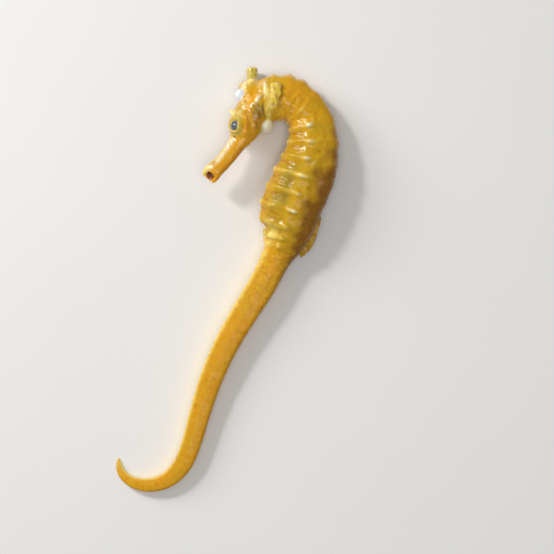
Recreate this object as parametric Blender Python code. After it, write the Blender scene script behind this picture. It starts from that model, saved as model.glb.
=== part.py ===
"""A yellow estuary seahorse at life size, lying still on its right side.

The head end points to -X and the tail trails to -Y, with the left flank up.
The body is swept along one spine and the head along another.  All lengths
below are in millimetres and become metres when a mesh is written.
"""

import math

import bmesh
import bpy
from mathutils import Matrix, Vector

MM = 0.001
GAP = 0.3                      # clearance between neighbouring sub-parts

# ---------------------------------------------------------------- head plan
# The head axis runs from the mouth to the crown.  Each row closes one stretch:
# length, turn of the axis in degrees, depth to the forehead side, depth to the
# throat side, half width.
MOUTH_PLACE = (-8.2, 40.2)
MOUTH_HEADING = 49.0
HEAD_PLAN = (
    ("lips", 0.0, 0.0, 3.2, 4.8, 2.7),
    ("lip_back", 3.5, 0.0, 2.7, 4.3, 2.5),
    ("snout_middle", 6.5, 0.0, 1.8, 4.5, 2.4),
    ("snout_root", 8.5, 2.0, 3.3, 4.4, 3.0),
    ("cheek", 6.0, 15.0, 6.6, 6.0, 4.9),
    ("eye", 3.5, 0.0, 7.0, 7.4, 5.6),
    ("brow", 4.5, 0.0, 6.8, 8.5, 6.2),
    ("forehead", 5.0, 0.0, 7.2, 9.0, 6.2),
    ("crown", 5.0, 0.0, 8.8, 9.0, 5.0),
    ("crown_top", 3.4, 0.0, 8.4, 8.0, 3.4),
)
HEAD_YAW = 12.0                # the snout lifts off the floor
HEAD_ROLL = 12.0               # the forehead leans towards the floor
MOUTH_SKEW = 1.15              # the mouth opens towards the left side
MOUTH_SHIFT = 0.4
MOUTH_FADE = 7.0               # the slant of the mouth is gone at this distance
MOUTH_INSIDE = ((2.6, 0.28), (1.2, 0.40), (0.3, 0.55), (0.0, 0.80))    # distance, scale
LIP_DISTANCE = 0.6
SNOUT_DISTANCES = (1.6, 3.0, 5.0, 7.5, 10.0, 12.5, 15.0)

EYE_ALONG = 23.75
EYE_UP = 2.2
EYE_OUT = 2.9
EYE_RADIUS = 2.8
ORBIT_RADIUS = 3.5

GILL_ALONG = 33.6
GILL_UP = -3.0
GILL_OUT = 5.0
GILL_RADII = (6.2, 4.3, 2.3)   # along the head, across it, outwards

BROW_SPINE_BASE = (27.9, 4.6, 3.6)
BROW_SPINE_TIP = (28.8, 8.1, 4.8)
BROW_SPINE_RADIUS = 1.8
BROW_SPINE_TAPER = ((0.0, 1.0), (0.5, 0.62), (0.9, 0.32), (1.0, 0.14))
KNOB_PLACE = (36.5, 6.3, 3.2)
KNOB_RADIUS = 2.4
CORONET_FOOT = (44.8, 5.4)
CORONET_TIP = (49.3, 7.3)
CORONET_RADII = (1.9, 1.75, 1.85, 2.2)

# ---------------------------------------------------------------- body plan
# The body spine runs from the shoulder ring to the tail tip, same columns.
RING_PLACE = (15.4, 70.9)
RING_HEADING = 2.0
BODY_PLAN = (
    ("shoulder", 0.0, 0.0, 9.6, 8.6, 6.6),
    ("nape", 6.5, -8.0, 10.6, 7.8, 6.6),
    ("neck", 7.0, -32.0, 10.0, 7.1, 6.8),
    ("bend", 7.0, -34.0, 10.5, 7.2, 7.3),
    ("chest", 9.0, -22.0, 11.7, 8.7, 8.1),
    ("upper_trunk", 11.0, -12.0, 12.8, 10.8, 8.7),
    ("belly", 13.0, -2.0, 11.8, 12.7, 8.7),
    ("hip", 10.0, 1.0, 10.8, 10.9, 7.8),
    ("lap", 4.0, -0.9, 9.7, 7.7, 7.2),
    ("vent", 5.0, -1.1, 8.1, 6.1, 6.2),
    ("tail_root", 6.0, -4.0, 6.0, 6.0, 5.6),
    ("tail_a", 15.0, -9.0, 5.5, 5.6, 5.2),
    ("tail_b", 16.0, 1.5, 5.1, 5.1, 4.9),
    ("tail_c", 18.0, 8.0, 4.7, 4.7, 4.5),
    ("tail_d", 18.0, 6.0, 4.2, 4.2, 4.0),
    ("tail_e", 15.0, -2.0, 3.9, 3.9, 3.6),
    ("tail_f", 11.0, -22.0, 3.6, 3.5, 3.1),
    ("tail_g", 9.2, -33.0, 3.1, 2.7, 2.6),
    ("tail_h", 9.5, -34.0, 2.5, 2.0, 2.0),
    ("tail_i", 7.5, -42.0, 1.7, 1.3, 1.3),
    ("tail_tip", 5.5, -40.0, 0.6, 0.5, 0.5),
)
PRESS = 0.3                    # how far the soft underside is pressed flat

NECK_LIFT = 1.3                # the neck rides on the right pectoral fin
NECK_LIFT_FROM = 8.0
NECK_LIFT_FADE = 12.0

# ---------------------------------------------------------------- rings
RING_LENGTH = 2.4              # shoulder ring
RING_RAISE = 0.7
RING_LUMP = 3.4                # pale end of the shoulder ring at the throat
RING_LUMP_POWER = 6            # how narrow that end is
TRUNK_RINGS = 11
TRUNK_DRIFT = 3.9              # rings shorten towards the hip
TRUNK_LENGTHS = (("neck", 0, 2), ("nape", 2, 4), ("chest", 4, 6), ("belly", 6, 9),
                 ("hip", 9, 11))
TRUNK_PLATE = (0.22, 0.5, 0.78)            # where a plate has loops, by its length
TRUNK_KNOB = 0.7
TRUNK_SINK = 0.25
TAIL_RINGS = 36
TAIL_RING_RATIO = 0.972        # each tail ring is shorter than the one before
TAIL_CUTS = (0, 4, 9, 14, 19, 24, 28, 32, 36)
TAIL_PLATE = (0.28, 0.72)
TAIL_KNOB = 0.3
TAIL_SINK = 0.12

# ---------------------------------------------------------------- details
HEAD_SIDES = 20
HEAD_SQUARENESS = 0.9
HEAD_LOOPS = 15
EYE_PROUD = 0.7
CORONET_SIDES = 10
CORONET_POINTS = 0.14          # how far its five points stand out
CORONET_SINK = 1.2
BLOCK_SIZE = 30.0              # helper block that trims the head at the ring
FIN_THICKNESS = 0.6
FIN_STEPS = 3
FIN_CLEAR = 0.1
DORSAL_FIN = (54.0, 71.0, 4.4, 62.0)       # start, end, height, lean
DORSAL_RAYS = 17
ANAL_FIN = (66.5, 71.8, 1.4, 45.0)
ANAL_RAYS = 5
PECTORAL_RAYS = 13
PECTORAL_LOW = -1.4
PECTORAL_HIGH = 6.2
PECTORAL_LENGTH = 4.0
PECTORAL_SPREAD = 46.0
PECTORAL_SETBACK = 0.6         # the fin starts this far behind the shoulder ring
PECTORAL_CLEAR = 0.1

# Unit half sections from the middle of the back to the keel, (side, up).
OVAL = tuple((math.sin(math.radians(a)), math.cos(math.radians(a)))
             for a in (0, 28, 56, 80, 100, 122, 142, 161, 180))
HEPTAGON = ((0.0, 0.92), (0.62, 1.0), (0.83, 0.55), (1.0, 0.11), (1.0, -0.10),
            (0.86, -0.38), (0.74, -0.66), (0.36, -0.85), (0.0, -1.0))
SQUARE = ((0.0, 0.95), (0.84, 1.0), (0.93, 0.55), (1.0, 0.14), (1.0, -0.14),
          (0.93, -0.55), (0.84, -1.0), (0.42, -0.96), (0.0, -0.95))
RIDGES = {1: 1.0, 3: 1.0, 4: 1.0, 6: 0.8, 8: 0.5}      # section corner: how much it knobs


def smooth(t):
    """Ease from 0 to 1 as t runs from 0 to 1."""
    t = min(max(t, 0.0), 1.0)
    return t * t * (3.0 - 2.0 * t)


def cumulative(values):
    """Running totals of a list."""
    total = 0.0
    totals = []
    for value in values:
        total += value
        totals.append(total)
    return totals


class Curve:
    """A smooth curve of one size against the distance along a spine."""

    def __init__(self, places, values):
        self.places = places
        self.values = values
        last = len(places) - 1
        self.slopes = []
        for i in range(last + 1):
            a = max(i - 1, 0)
            b = min(i + 1, last)
            self.slopes.append((values[b] - values[a]) / (places[b] - places[a]))

    def at(self, s):
        """Value at the distance s."""
        last = len(self.places) - 2
        i = 0
        while i < last and s > self.places[i + 1]:
            i += 1
        span = self.places[i + 1] - self.places[i]
        t = (s - self.places[i]) / span
        if t <= 0.0 or t >= 1.0:
            end = i if t <= 0.0 else i + 1
            return self.values[end] + self.slopes[end] * (s - self.places[end])
        v0, v1 = self.values[i], self.values[i + 1]
        m0, m1 = self.slopes[i] * span, self.slopes[i + 1] * span
        return ((2 * t ** 3 - 3 * t ** 2 + 1) * v0 + (t ** 3 - 2 * t ** 2 + t) * m0
                + (3 * t ** 2 - 2 * t ** 3) * v1 + (t ** 3 - t ** 2) * m1)


class Spine:
    """A flat spine with the section sizes along it."""

    STEP = 0.25

    def __init__(self, place, heading, plan):
        stations = cumulative([row[1] for row in plan])
        self.station = {row[0]: s for row, s in zip(plan, stations)}
        self.length = stations[-1]
        self.turn = Curve(stations, [heading + t for t in cumulative([r[2] for r in plan])])
        self.back = Curve(stations, [row[3] for row in plan])
        self.belly = Curve(stations, [row[4] for row in plan])
        self.half_width = Curve(stations, [row[5] for row in plan])
        self.path = [Vector((place[0], place[1]))]
        for i in range(int(self.length / self.STEP) + 8):
            angle = math.radians(self.turn.at((i + 0.5) * self.STEP))
            step = Vector((math.cos(angle), math.sin(angle))) * self.STEP
            self.path.append(self.path[-1] + step)

    def point(self, s):
        """Place of the spine in plan at the distance s."""
        i = min(max(int(s / self.STEP), 0), len(self.path) - 2)
        return self.path[i].lerp(self.path[i + 1], s / self.STEP - i)

    def along(self, s):
        """Unit direction of the spine, away from the mouth."""
        angle = math.radians(self.turn.at(s))
        return Vector((math.cos(angle), math.sin(angle)))

    def up(self, s):
        """Unit direction to the back of the animal, in plan."""
        angle = math.radians(self.turn.at(s))
        return Vector((-math.sin(angle), math.cos(angle)))

    def spot(self, s, up, out):
        """Point at the distance s, `up` to the back and `out` to the left flank."""
        flat = self.point(s) + self.up(s) * up
        return Vector((flat.x, flat.y, out))


HEAD = Spine(MOUTH_PLACE, MOUTH_HEADING, HEAD_PLAN)
BODY = Spine(RING_PLACE, RING_HEADING, BODY_PLAN)
# ---------------------------------------------------------------- end of plan


# ---------------------------------------------------------------- placing
def body_height(s):
    """Height of the body spine over the floor: it lies on its flank."""
    lift = NECK_LIFT * (1.0 - smooth((s - NECK_LIFT_FROM) / NECK_LIFT_FADE))
    return BODY.half_width.at(s) - PRESS + lift


RING_PIVOT = Vector((RING_PLACE[0], RING_PLACE[1], 0.0))
RING_NORMAL = BODY.along(0.0).to_3d()
HEAD_AXIS = HEAD.along(HEAD.length).to_3d()
HEAD_UP = HEAD.up(HEAD.length).to_3d()
HEAD_TURN = (Matrix.Rotation(math.radians(HEAD_YAW), 3, HEAD_UP)
             @ Matrix.Rotation(math.radians(-HEAD_ROLL), 3, HEAD_AXIS))


def place_head(point):
    """Move a point of the straight head to its turned place."""
    turned = HEAD_TURN @ (point - RING_PIVOT) + RING_PIVOT
    return turned + Vector((0.0, 0.0, body_height(0.0)))


def head_spot(s, up, out):
    """Point of the head by distance, height over its axis and side."""
    return place_head(HEAD.spot(s, up, out))


def body_spot(s, up, out):
    """Point of the body by distance, height over its spine and side."""
    point = BODY.spot(s, up, out)
    return point + Vector((0.0, 0.0, body_height(s)))


def settle(point):
    """Press a point that would sink into the floor flat on it."""
    return Vector((point.x, point.y, max(point.z, 0.0)))


# ---------------------------------------------------------------- sections
def blend(first, second, amount):
    """Mix two half sections."""
    return tuple((a[0] + (b[0] - a[0]) * amount, a[1] + (b[1] - a[1]) * amount)
                 for a, b in zip(first, second))


def body_shape(s):
    """Half section of the body: oval neck, seven-sided trunk, square tail."""
    angular = smooth(s / BODY.station["chest"])
    neck_to_trunk = blend(OVAL, HEPTAGON, 0.35 + 0.65 * angular)
    tail_start = BODY.station["hip"]
    to_tail = smooth((s - tail_start) / (BODY.station["tail_a"] - tail_start))
    return blend(neck_to_trunk, SQUARE, to_tail)


def full_ring(half):
    """Close a half section: down the left side and up the right side."""
    left = [(i, 1.0) for i in range(len(half))]
    right = [(i, -1.0) for i in range(len(half) - 2, 0, -1)]
    return left + right


def body_section(s, relief, knob, sink):
    """Points of one body section; relief is 1 on a ring edge, 0 on a plate."""
    half = body_shape(s)
    back, belly = BODY.back.at(s), BODY.belly.at(s)
    width = BODY.half_width.at(s)
    points = []
    for i, side in full_ring(half):
        out = half[i][0] * width
        up = half[i][1] * (back if half[i][1] > 0.0 else belly)
        reach = math.hypot(out, up)
        grow = relief * knob * RIDGES.get(i, 0.0) - (1.0 - relief) * sink
        scale = 1.0 + grow / reach
        points.append(settle(body_spot(s, up * scale, out * scale * side)))
    return points


def flank(s, up):
    """Distance from the middle plane to the skin of the body at a height."""
    half = body_shape(s)
    width = BODY.half_width.at(s)
    rows = []
    for side, height in half:
        rows.append((height * (BODY.back.at(s) if height > 0.0 else BODY.belly.at(s)),
                     side * width))
    for (high, out_high), (low, out_low) in zip(rows, rows[1:]):
        if low <= up <= high:
            t = (up - low) / max(high - low, 0.001)
            return out_low + (out_high - out_low) * t
    return 0.0


def head_section(s, scale=1.0):
    """Points of one head or snout section, as an oval."""
    middle = (HEAD.back.at(s) - HEAD.belly.at(s)) / 2.0
    tall = (HEAD.back.at(s) + HEAD.belly.at(s)) / 2.0 * scale
    wide = HEAD.half_width.at(s) * scale
    points = []
    for i in range(HEAD_SIDES):
        angle = 2.0 * math.pi * i / HEAD_SIDES
        up = math.copysign(abs(math.cos(angle)) ** HEAD_SQUARENESS, math.cos(angle))
        out = math.copysign(abs(math.sin(angle)) ** HEAD_SQUARENESS, math.sin(angle))
        points.append((middle + tall * up, wide * out))
    return points


# ---------------------------------------------------------------- meshes
def clear_scene():
    """Start from an empty scene."""
    for thing in list(bpy.data.objects):
        bpy.data.objects.remove(thing, do_unlink=True)


def make_material(name, colour, roughness):
    """Plain material of one sub-part."""
    material = bpy.data.materials.new(name)
    material.use_nodes = True
    shader = material.node_tree.nodes["Principled BSDF"]
    shader.inputs["Base Color"].default_value = (*colour, 1.0)
    shader.inputs["Roughness"].default_value = roughness
    shader.inputs["Metallic"].default_value = 0.0
    return material


def make_solid(name, points, faces, material, smooth_sides=True):
    """One closed body from points in millimetres."""
    mesh = bpy.data.meshes.new(name)
    mesh.from_pydata([point * MM for point in points], [], faces)
    bm = bmesh.new()
    bm.from_mesh(mesh)
    bmesh.ops.recalc_face_normals(bm, faces=bm.faces)
    for face in bm.faces:
        face.smooth = smooth_sides and len(face.verts) == 4
    bm.to_mesh(mesh)
    bm.free()
    solid = bpy.data.objects.new(name, mesh)
    solid.data.materials.append(material)
    bpy.context.scene.collection.objects.link(solid)
    return solid


def loft(name, loops, material):
    """Skin a closed body over loops that have the same number of points."""
    count = len(loops[0])
    points = [point for loop in loops for point in loop]
    faces = []
    for row in range(len(loops) - 1):
        for i in range(count):
            j = (i + 1) % count
            a, b = row * count, (row + 1) * count
            faces.append((a + i, a + j, b + j, b + i))
    faces.append(tuple(range(count)))
    last = (len(loops) - 1) * count
    faces.append(tuple(last + i for i in reversed(range(count))))
    return make_solid(name, points, faces, material)


def ball(name, centre, radii, material, sides=14, rows=8):
    """Ellipsoid along the directions of the turned head."""
    points = [centre + HEAD_TURN @ (HEAD_AXIS * radii[0])]
    for row in range(1, rows):
        polar = math.pi * row / rows
        for i in range(sides):
            angle = 2.0 * math.pi * i / sides
            step = (HEAD_AXIS * (radii[0] * math.cos(polar))
                    + HEAD_UP * (radii[1] * math.sin(polar) * math.cos(angle))
                    + Vector((0.0, 0.0, radii[2] * math.sin(polar) * math.sin(angle))))
            points.append(centre + HEAD_TURN @ step)
    points.append(centre - HEAD_TURN @ (HEAD_AXIS * radii[0]))
    faces = []
    for i in range(sides):
        j = (i + 1) % sides
        faces.append((0, 1 + i, 1 + j))
        for row in range(rows - 2):
            a, b = 1 + row * sides, 1 + (row + 1) * sides
            faces.append((a + i, b + i, b + j, a + j))
        end = 1 + (rows - 2) * sides
        faces.append((end + i, len(points) - 1, end + j))
    return make_solid(name, points, faces, material)


def apply_shape(target, helper, operation):
    """Join or cut one closed body with a hidden helper body."""
    helper.hide_render = True
    helper.display_type = "WIRE"
    boolean = target.modifiers.new(helper.name, "BOOLEAN")
    boolean.operation = operation
    boolean.solver = "EXACT"
    boolean.object = helper


# ---------------------------------------------------------------- sub-parts
def make_snout(material):
    """Tube snout with a flared lip and an open mouth."""
    end = HEAD.station["snout_root"] - GAP / 2.0
    outside = [(s, 1.0) for s in (LIP_DISTANCE, *SNOUT_DISTANCES, end)]
    loops = []
    for s, scale in [*MOUTH_INSIDE, *outside]:
        lean = MOUTH_SKEW * (1.0 - smooth(s / MOUTH_FADE))
        loops.append([head_spot(s + lean * (out + MOUTH_SHIFT), up, out)
                      for up, out in head_section(s, scale)])
    return loft("snout", loops, material)


def make_cone(name, base, tip, radius, material, sides=8):
    """Blunt spine of the head, from `base` to `tip` in head places."""
    foot, point = HEAD.spot(*base), HEAD.spot(*tip)
    axis = (point - foot).normalized()
    across = axis.orthogonal().normalized()
    other = axis.cross(across)
    loops = []
    for t, scale in BROW_SPINE_TAPER:
        centre = foot.lerp(point, t)
        loop = []
        for i in range(sides):
            angle = 2.0 * math.pi * i / sides
            ray = across * math.cos(angle) + other * math.sin(angle)
            loop.append(place_head(centre + ray * radius * scale))
        loops.append(loop)
    return loft(name, loops, material)


def coronet_loops(grow, sink):
    """Loops of the crown-like column, `grow` wider, from `sink` below its foot."""
    foot = HEAD.spot(*CORONET_FOOT, 0.0)
    tip = HEAD.spot(*CORONET_TIP, 0.0)
    axis = (tip - foot).normalized()
    length = (tip - foot).length
    across = Vector((-axis.y, axis.x, 0.0))
    side = Vector((0.0, 0.0, 1.0))
    loops = []
    rows = [(-sink / length, CORONET_RADII[0])]
    rows += [(t, r) for t, r in zip((0.0, 0.4, 0.75, 1.0), CORONET_RADII)]
    rows += [(1.06, CORONET_RADII[3] * 0.72), (0.93, CORONET_RADII[3] * 0.45)]
    for t, radius in rows:
        centre = foot + axis * length * t
        loop = []
        for i in range(CORONET_SIDES):
            angle = 2.0 * math.pi * i / CORONET_SIDES
            point_out = 1.0 + CORONET_POINTS * smooth(t) * (-1.0) ** i
            reach = (radius + grow) * point_out
            ray = across * math.cos(angle) + side * math.sin(angle)
            loop.append(place_head(centre + ray * reach))
        loops.append(loop)
    return loops


def make_head(material):
    """Head from the snout root to the shoulder ring, with eye and gill pockets."""
    start = HEAD.station["snout_root"] + GAP / 2.0
    count = HEAD_LOOPS
    loops = []
    for row in range(count):
        s = start + (HEAD.length - start) * row / (count - 1)
        loops.append([head_spot(s, up, out) for up, out in head_section(s)])
    head = loft("head", loops, material)
    for side, name in ((1.0, "left"), (-1.0, "right")):
        knob_at = head_spot(KNOB_PLACE[0], KNOB_PLACE[1], KNOB_PLACE[2] * side)
        knob = ball("shape_knob_" + name, knob_at, (KNOB_RADIUS,) * 3, material, 12, 8)
        apply_shape(head, knob, "UNION")
        centre = head_spot(EYE_ALONG, EYE_UP, EYE_OUT * side)
        orbit = ball("shape_orbit_" + name, centre, (ORBIT_RADIUS,) * 3, material, 12, 8)
        apply_shape(head, orbit, "UNION")
        base, tip = list(BROW_SPINE_BASE), list(BROW_SPINE_TIP)
        base[2] *= side
        tip[2] *= side
        spine = make_cone("shape_brow_" + name, base, tip, BROW_SPINE_RADIUS, material)
        apply_shape(head, spine, "UNION")
    for side, name in ((1.0, "left"), (-1.0, "right")):
        socket = ball("shape_socket_" + name, eye_place(side), (EYE_RADIUS + GAP,) * 3,
                      material, 14, 9)
        apply_shape(head, socket, "DIFFERENCE")
        pocket = ball("shape_gill_" + name, gill_place(side),
                      tuple(radius + GAP for radius in GILL_RADII), material, 15, 8)
        apply_shape(head, pocket, "DIFFERENCE")
    pocket = loft("shape_coronet", coronet_loops(GAP, CORONET_SINK + GAP), material)
    apply_shape(head, pocket, "DIFFERENCE")
    apply_shape(head, behind_ring("shape_nape", material), "DIFFERENCE")
    return head


def behind_ring(name, material):
    """Block that fills the space from just before the shoulder ring backwards."""
    across = Vector((-RING_NORMAL.y, RING_NORMAL.x, 0.0))
    loops = []
    for depth in (-GAP, BLOCK_SIZE):
        centre = RING_PIVOT + RING_NORMAL * depth
        loops.append([centre + across * (BLOCK_SIZE * a) + Vector((0.0, 0.0, BLOCK_SIZE * b))
                      for a, b in ((-1, -1), (1, -1), (1, 1), (-1, 1))])
    return loft(name, loops, material)


def eye_place(side):
    """Centre of an eyeball, a little proud of its orbit."""
    return head_spot(EYE_ALONG, EYE_UP, (EYE_OUT + EYE_PROUD) * side)


def gill_place(side):
    """Centre of a gill cover."""
    return head_spot(GILL_ALONG, GILL_UP, GILL_OUT * side)


def make_gill_cover(name, side, material):
    """Domed bone plate over the gills."""
    cover = ball(name, gill_place(side), GILL_RADII, material, 16, 8)
    apply_shape(cover, behind_ring("shape_" + name, material), "DIFFERENCE")
    return cover


def make_shoulder_ring(material):
    """Raised bone ring behind the head, thick at the throat."""
    loops = []
    for s, raised in ((0.0, 0.2), (0.5, 1.0), (RING_LENGTH - 0.5, 1.0), (RING_LENGTH, 0.2)):
        half = body_shape(s)
        loop = []
        for i, side in full_ring(half):
            up = half[i][1] * (BODY.back.at(s) if half[i][1] > 0.0 else BODY.belly.at(s))
            out = half[i][0] * BODY.half_width.at(s)
            lump = RING_LUMP * max(0.0, -half[i][1]) ** RING_LUMP_POWER
            grow = (RING_RAISE + lump) * raised
            scale = 1.0 + grow / math.hypot(out, up)
            loop.append(settle(body_spot(s, up * scale, out * scale * side)))
        loops.append(loop)
    return loft("shoulder_ring", loops, material)


def ring_places():
    """Distances of the ring edges of the trunk and of the tail."""
    vent = BODY.station["vent"]
    first = RING_LENGTH + GAP
    trunk = []
    for i in range(TRUNK_RINGS + 1):
        t = i / TRUNK_RINGS
        trunk.append(first + (vent - first) * t + TRUNK_DRIFT * math.sin(math.pi * t ** 3))
    shares = [TAIL_RING_RATIO ** i for i in range(TAIL_RINGS)]
    scale = (BODY.length - vent) / sum(shares)
    tail = [vent + total * scale for total in [0.0] + cumulative(shares)]
    return trunk, tail


def make_length(name, edges, plate_places, knob, sink, material):
    """Length of body between ring edges, each edge raised, each plate sunk."""
    loops = []
    for i in range(len(edges) - 1):
        start, span = edges[i], edges[i + 1] - edges[i]
        inset = GAP / 2.0 if i == 0 else 0.0
        loops.append(body_section(start + inset, 1.0, knob, sink))
        for t in plate_places:
            loops.append(body_section(start + span * t, 0.0, knob, sink))
    loops.append(body_section(edges[-1] - GAP / 2.0, 1.0, knob, sink))
    return loft(name, loops, material)


def fin(name, rays, thickness, material):
    """Thin fin over rays; each ray is a root, a tip and the way it faces."""
    loops = []
    for number, (root, tip, face) in enumerate(rays):
        raised = 1.0 if number % 2 == 0 else 0.7
        loop = []
        steps = FIN_STEPS
        for step in range(steps + 1):
            t = step / steps
            half = thickness / 2.0 * raised * (1.0 - 0.25 * t)
            loop.append(settle(root.lerp(tip, t) + face * half))
        for step in range(steps, -1, -1):
            t = step / steps
            half = thickness / 2.0 * raised * (1.0 - 0.25 * t)
            loop.append(settle(root.lerp(tip, t) - face * half))
        loops.append(loop)
    return loft(name, loops, material)


def median_fin(name, start, end, height, lean, side, count, material):
    """Fin on the middle line of the back (side 1) or of the belly (side -1)."""
    rays = []
    for i in range(count):
        t = i / (count - 1)
        s = start + (end - start) * t
        half = body_shape(s)
        if side > 0.0:
            edge = BODY.back.at(s) * half[0][1]
        else:
            edge = -BODY.belly.at(s) * half[-1][1]
        root = body_spot(s, (edge + GAP + FIN_CLEAR) * side, 0.0)
        angle = math.radians(lean)
        way = (BODY.up(s) * side * math.cos(angle) + BODY.along(s) * math.sin(angle)).to_3d()
        tall = height * (0.45 + 0.55 * math.sin(math.pi * min(0.12 + 0.8 * t, 1.0)))
        rays.append((root, root + way * tall, Vector((0.0, 0.0, 1.0))))
    return fin(name, rays, FIN_THICKNESS, material)


def pectoral_fin(name, side, material):
    """Small folded fan on the flank, right behind the shoulder ring."""
    rays = []
    for i in range(PECTORAL_RAYS):
        t = i / (PECTORAL_RAYS - 1)
        up = PECTORAL_LOW + (PECTORAL_HIGH - PECTORAL_LOW) * t
        s = RING_LENGTH + GAP + PECTORAL_SETBACK
        spread = math.radians(PECTORAL_SPREAD * (t - 0.5))
        long = PECTORAL_LENGTH * (0.75 + 0.25 * math.sin(math.pi * t))
        tip_s = s + long * math.cos(spread)
        tip_up = up + long * math.sin(spread)
        lie = GAP + FIN_THICKNESS / 2.0 + PECTORAL_CLEAR
        root = body_spot(s, up, (flank(s, up) + lie) * side)
        tip = body_spot(tip_s, tip_up, (flank(tip_s, tip_up) + lie) * side)
        rays.append((root, tip, Vector((0.0, 0.0, 1.0))))
    return fin(name, rays, FIN_THICKNESS, material)


def main():
    """Build every sub-part."""
    clear_scene()
    skin = make_material("yellow_skin", (0.62, 0.36, 0.05), 0.35)
    tail_skin = make_material("tail_skin", (0.56, 0.28, 0.03), 0.35)
    plate = make_material("pale_plate", (0.66, 0.45, 0.12), 0.32)
    fin_film = make_material("fin_film", (0.45, 0.28, 0.08), 0.4)
    eye_dark = make_material("eye_dark", (0.03, 0.04, 0.05), 0.08)
    make_snout(skin)
    make_head(skin)
    loft("coronet", coronet_loops(0.0, CORONET_SINK), plate)
    for side, name in ((1.0, "left"), (-1.0, "right")):
        ball("eye_" + name, eye_place(side), (EYE_RADIUS,) * 3, eye_dark, 16, 10)
        make_gill_cover("gill_cover_" + name, side, skin)
        pectoral_fin("pectoral_fin_" + name, side, fin_film)
    make_shoulder_ring(plate)
    trunk, tail = ring_places()
    for name, first, last in TRUNK_LENGTHS:
        make_length(name, trunk[first:last + 1], TRUNK_PLATE, TRUNK_KNOB, TRUNK_SINK, skin)
    for number, (first, last) in enumerate(zip(TAIL_CUTS, TAIL_CUTS[1:]), 1):
        fade = 1.0 - 0.75 * first / TAIL_RINGS
        make_length(f"tail_{number}", tail[first:last + 1], TAIL_PLATE, TAIL_KNOB * fade,
                    TAIL_SINK * fade, tail_skin)
    median_fin("dorsal_fin", *DORSAL_FIN, 1.0, DORSAL_RAYS, fin_film)
    median_fin("anal_fin", *ANAL_FIN, -1.0, ANAL_RAYS, fin_film)


main()
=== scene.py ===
"""Looks of a life-size yellow seahorse that lies on its right side.

The skin, eyes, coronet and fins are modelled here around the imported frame.
All sizes below are in millimetres and become metres when a mesh is written.
"""

import math

import bmesh
import bpy
import numpy as np
from mathutils import Matrix, Vector, noise


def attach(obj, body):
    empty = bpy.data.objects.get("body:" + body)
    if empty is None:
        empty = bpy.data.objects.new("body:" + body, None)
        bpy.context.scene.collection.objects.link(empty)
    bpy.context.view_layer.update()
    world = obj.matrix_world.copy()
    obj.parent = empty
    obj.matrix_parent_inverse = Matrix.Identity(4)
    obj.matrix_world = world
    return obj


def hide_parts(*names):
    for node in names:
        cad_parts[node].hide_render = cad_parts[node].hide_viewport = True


bl_info = {
    "name": "Seahorse model looks",
    "version": (1, 0, 0),
    "blender": (4, 5, 0),
    "location": "3D View > Sidebar > Seahorse",
    "description": "Models the skin, eyes, coronet and fins of a life-size seahorse",
    "category": "Object",
}

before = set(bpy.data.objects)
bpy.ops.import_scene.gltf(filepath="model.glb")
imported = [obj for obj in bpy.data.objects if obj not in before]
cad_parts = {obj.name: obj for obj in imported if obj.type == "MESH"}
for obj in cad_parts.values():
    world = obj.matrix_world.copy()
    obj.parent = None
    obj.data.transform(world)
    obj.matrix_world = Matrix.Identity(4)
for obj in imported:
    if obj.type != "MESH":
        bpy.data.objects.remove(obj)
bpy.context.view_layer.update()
MM = 0.001

# ---------------------------------------------------------------- head plan
# name, length, turn, depth to the forehead, depth to the throat, half width
MOUTH_PLACE = (-8.2, 40.2)
MOUTH_HEADING = 49.0
HEAD_PLAN = (
    ("lips", 0.0, 0.0, 3.2, 4.8, 2.7),
    ("lip_back", 3.5, 0.0, 2.7, 4.3, 2.5),
    ("snout_middle", 6.5, 0.0, 1.8, 4.5, 2.4),
    ("snout_root", 8.5, 2.0, 3.3, 4.4, 3.0),
    ("cheek", 6.0, 15.0, 6.6, 6.0, 4.9),
    ("eye", 3.5, 0.0, 7.0, 7.4, 5.6),
    ("brow", 4.5, 0.0, 6.8, 8.5, 6.2),
    ("forehead", 5.0, 0.0, 7.2, 9.0, 6.2),
    ("crown", 5.0, 0.0, 8.8, 9.0, 5.0),
    ("crown_top", 3.4, 0.0, 8.4, 8.0, 3.4),
)
HEAD_YAW = 12.0
HEAD_ROLL = 12.0
HEAD_SQUARENESS = 0.9
MOUTH_SKEW = 1.15                          # how far the mouth looks to the left side
MOUTH_SHIFT = 0.4
MOUTH_FADE = 7.0
MOUTH_CHIN = 1.5                           # how far the lower lip is drawn back
MOUTH_DROP = 0.3                           # the opening lies nearer to the throat side
MOUTH_DEPTH = 4.2
LIP_ROUND = 2.2

EYE_PLACE = (23.75, 2.2, 3.6)
ORBIT_PLACE = (23.75, 2.2, 3.2)
EYE_RADIUS = 2.8
LID_OPENING = (41.0, 30.0)                 # least half angle, and how much more when tallest
LID_LEAN = 42.0                            # tallest way of the lids, from the head axis
ORBIT_RADIUS = 3.1
NOSTRIL = (19.4, 1.0, 3.1)
EYE_BED = 1.6                              # the skin behind the eyeball, from its centre
EYE_TILT = 40.0                            # how far the eyes look towards the forehead
GILL_PLACE = (33.6, -3.0)
GILL_RADII = (6.2, 4.3)
GILL_TILT = 13.0
BROW_SPINE_BASE = (28.0, 5.1, 4.2)
BROW_SPINE_TIP = (28.8, 8.1, 4.8)
BROW_SPINE_RADIUS = 2.0
BEAD_PLACE = (36.5, 6.3, 3.4)
BEAD_ROOT = (36.4, 3.0, 0.6)
BEAD_RADIUS = 2.4
CORONET_FOOT = (44.8, 5.4)
CORONET_TIP = (49.3, 7.3)
CORONET_RADIUS = 2.2
CORONET_SUNK = -0.36                       # the root lies this share of its height in the head
CORONET_OUTSIDE = ((CORONET_SUNK, 0.0, 0.35, 0.75, 0.93, 1.0),
                   (1.9, 1.22, 0.96, 0.98, 1.03, 0.94))
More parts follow.
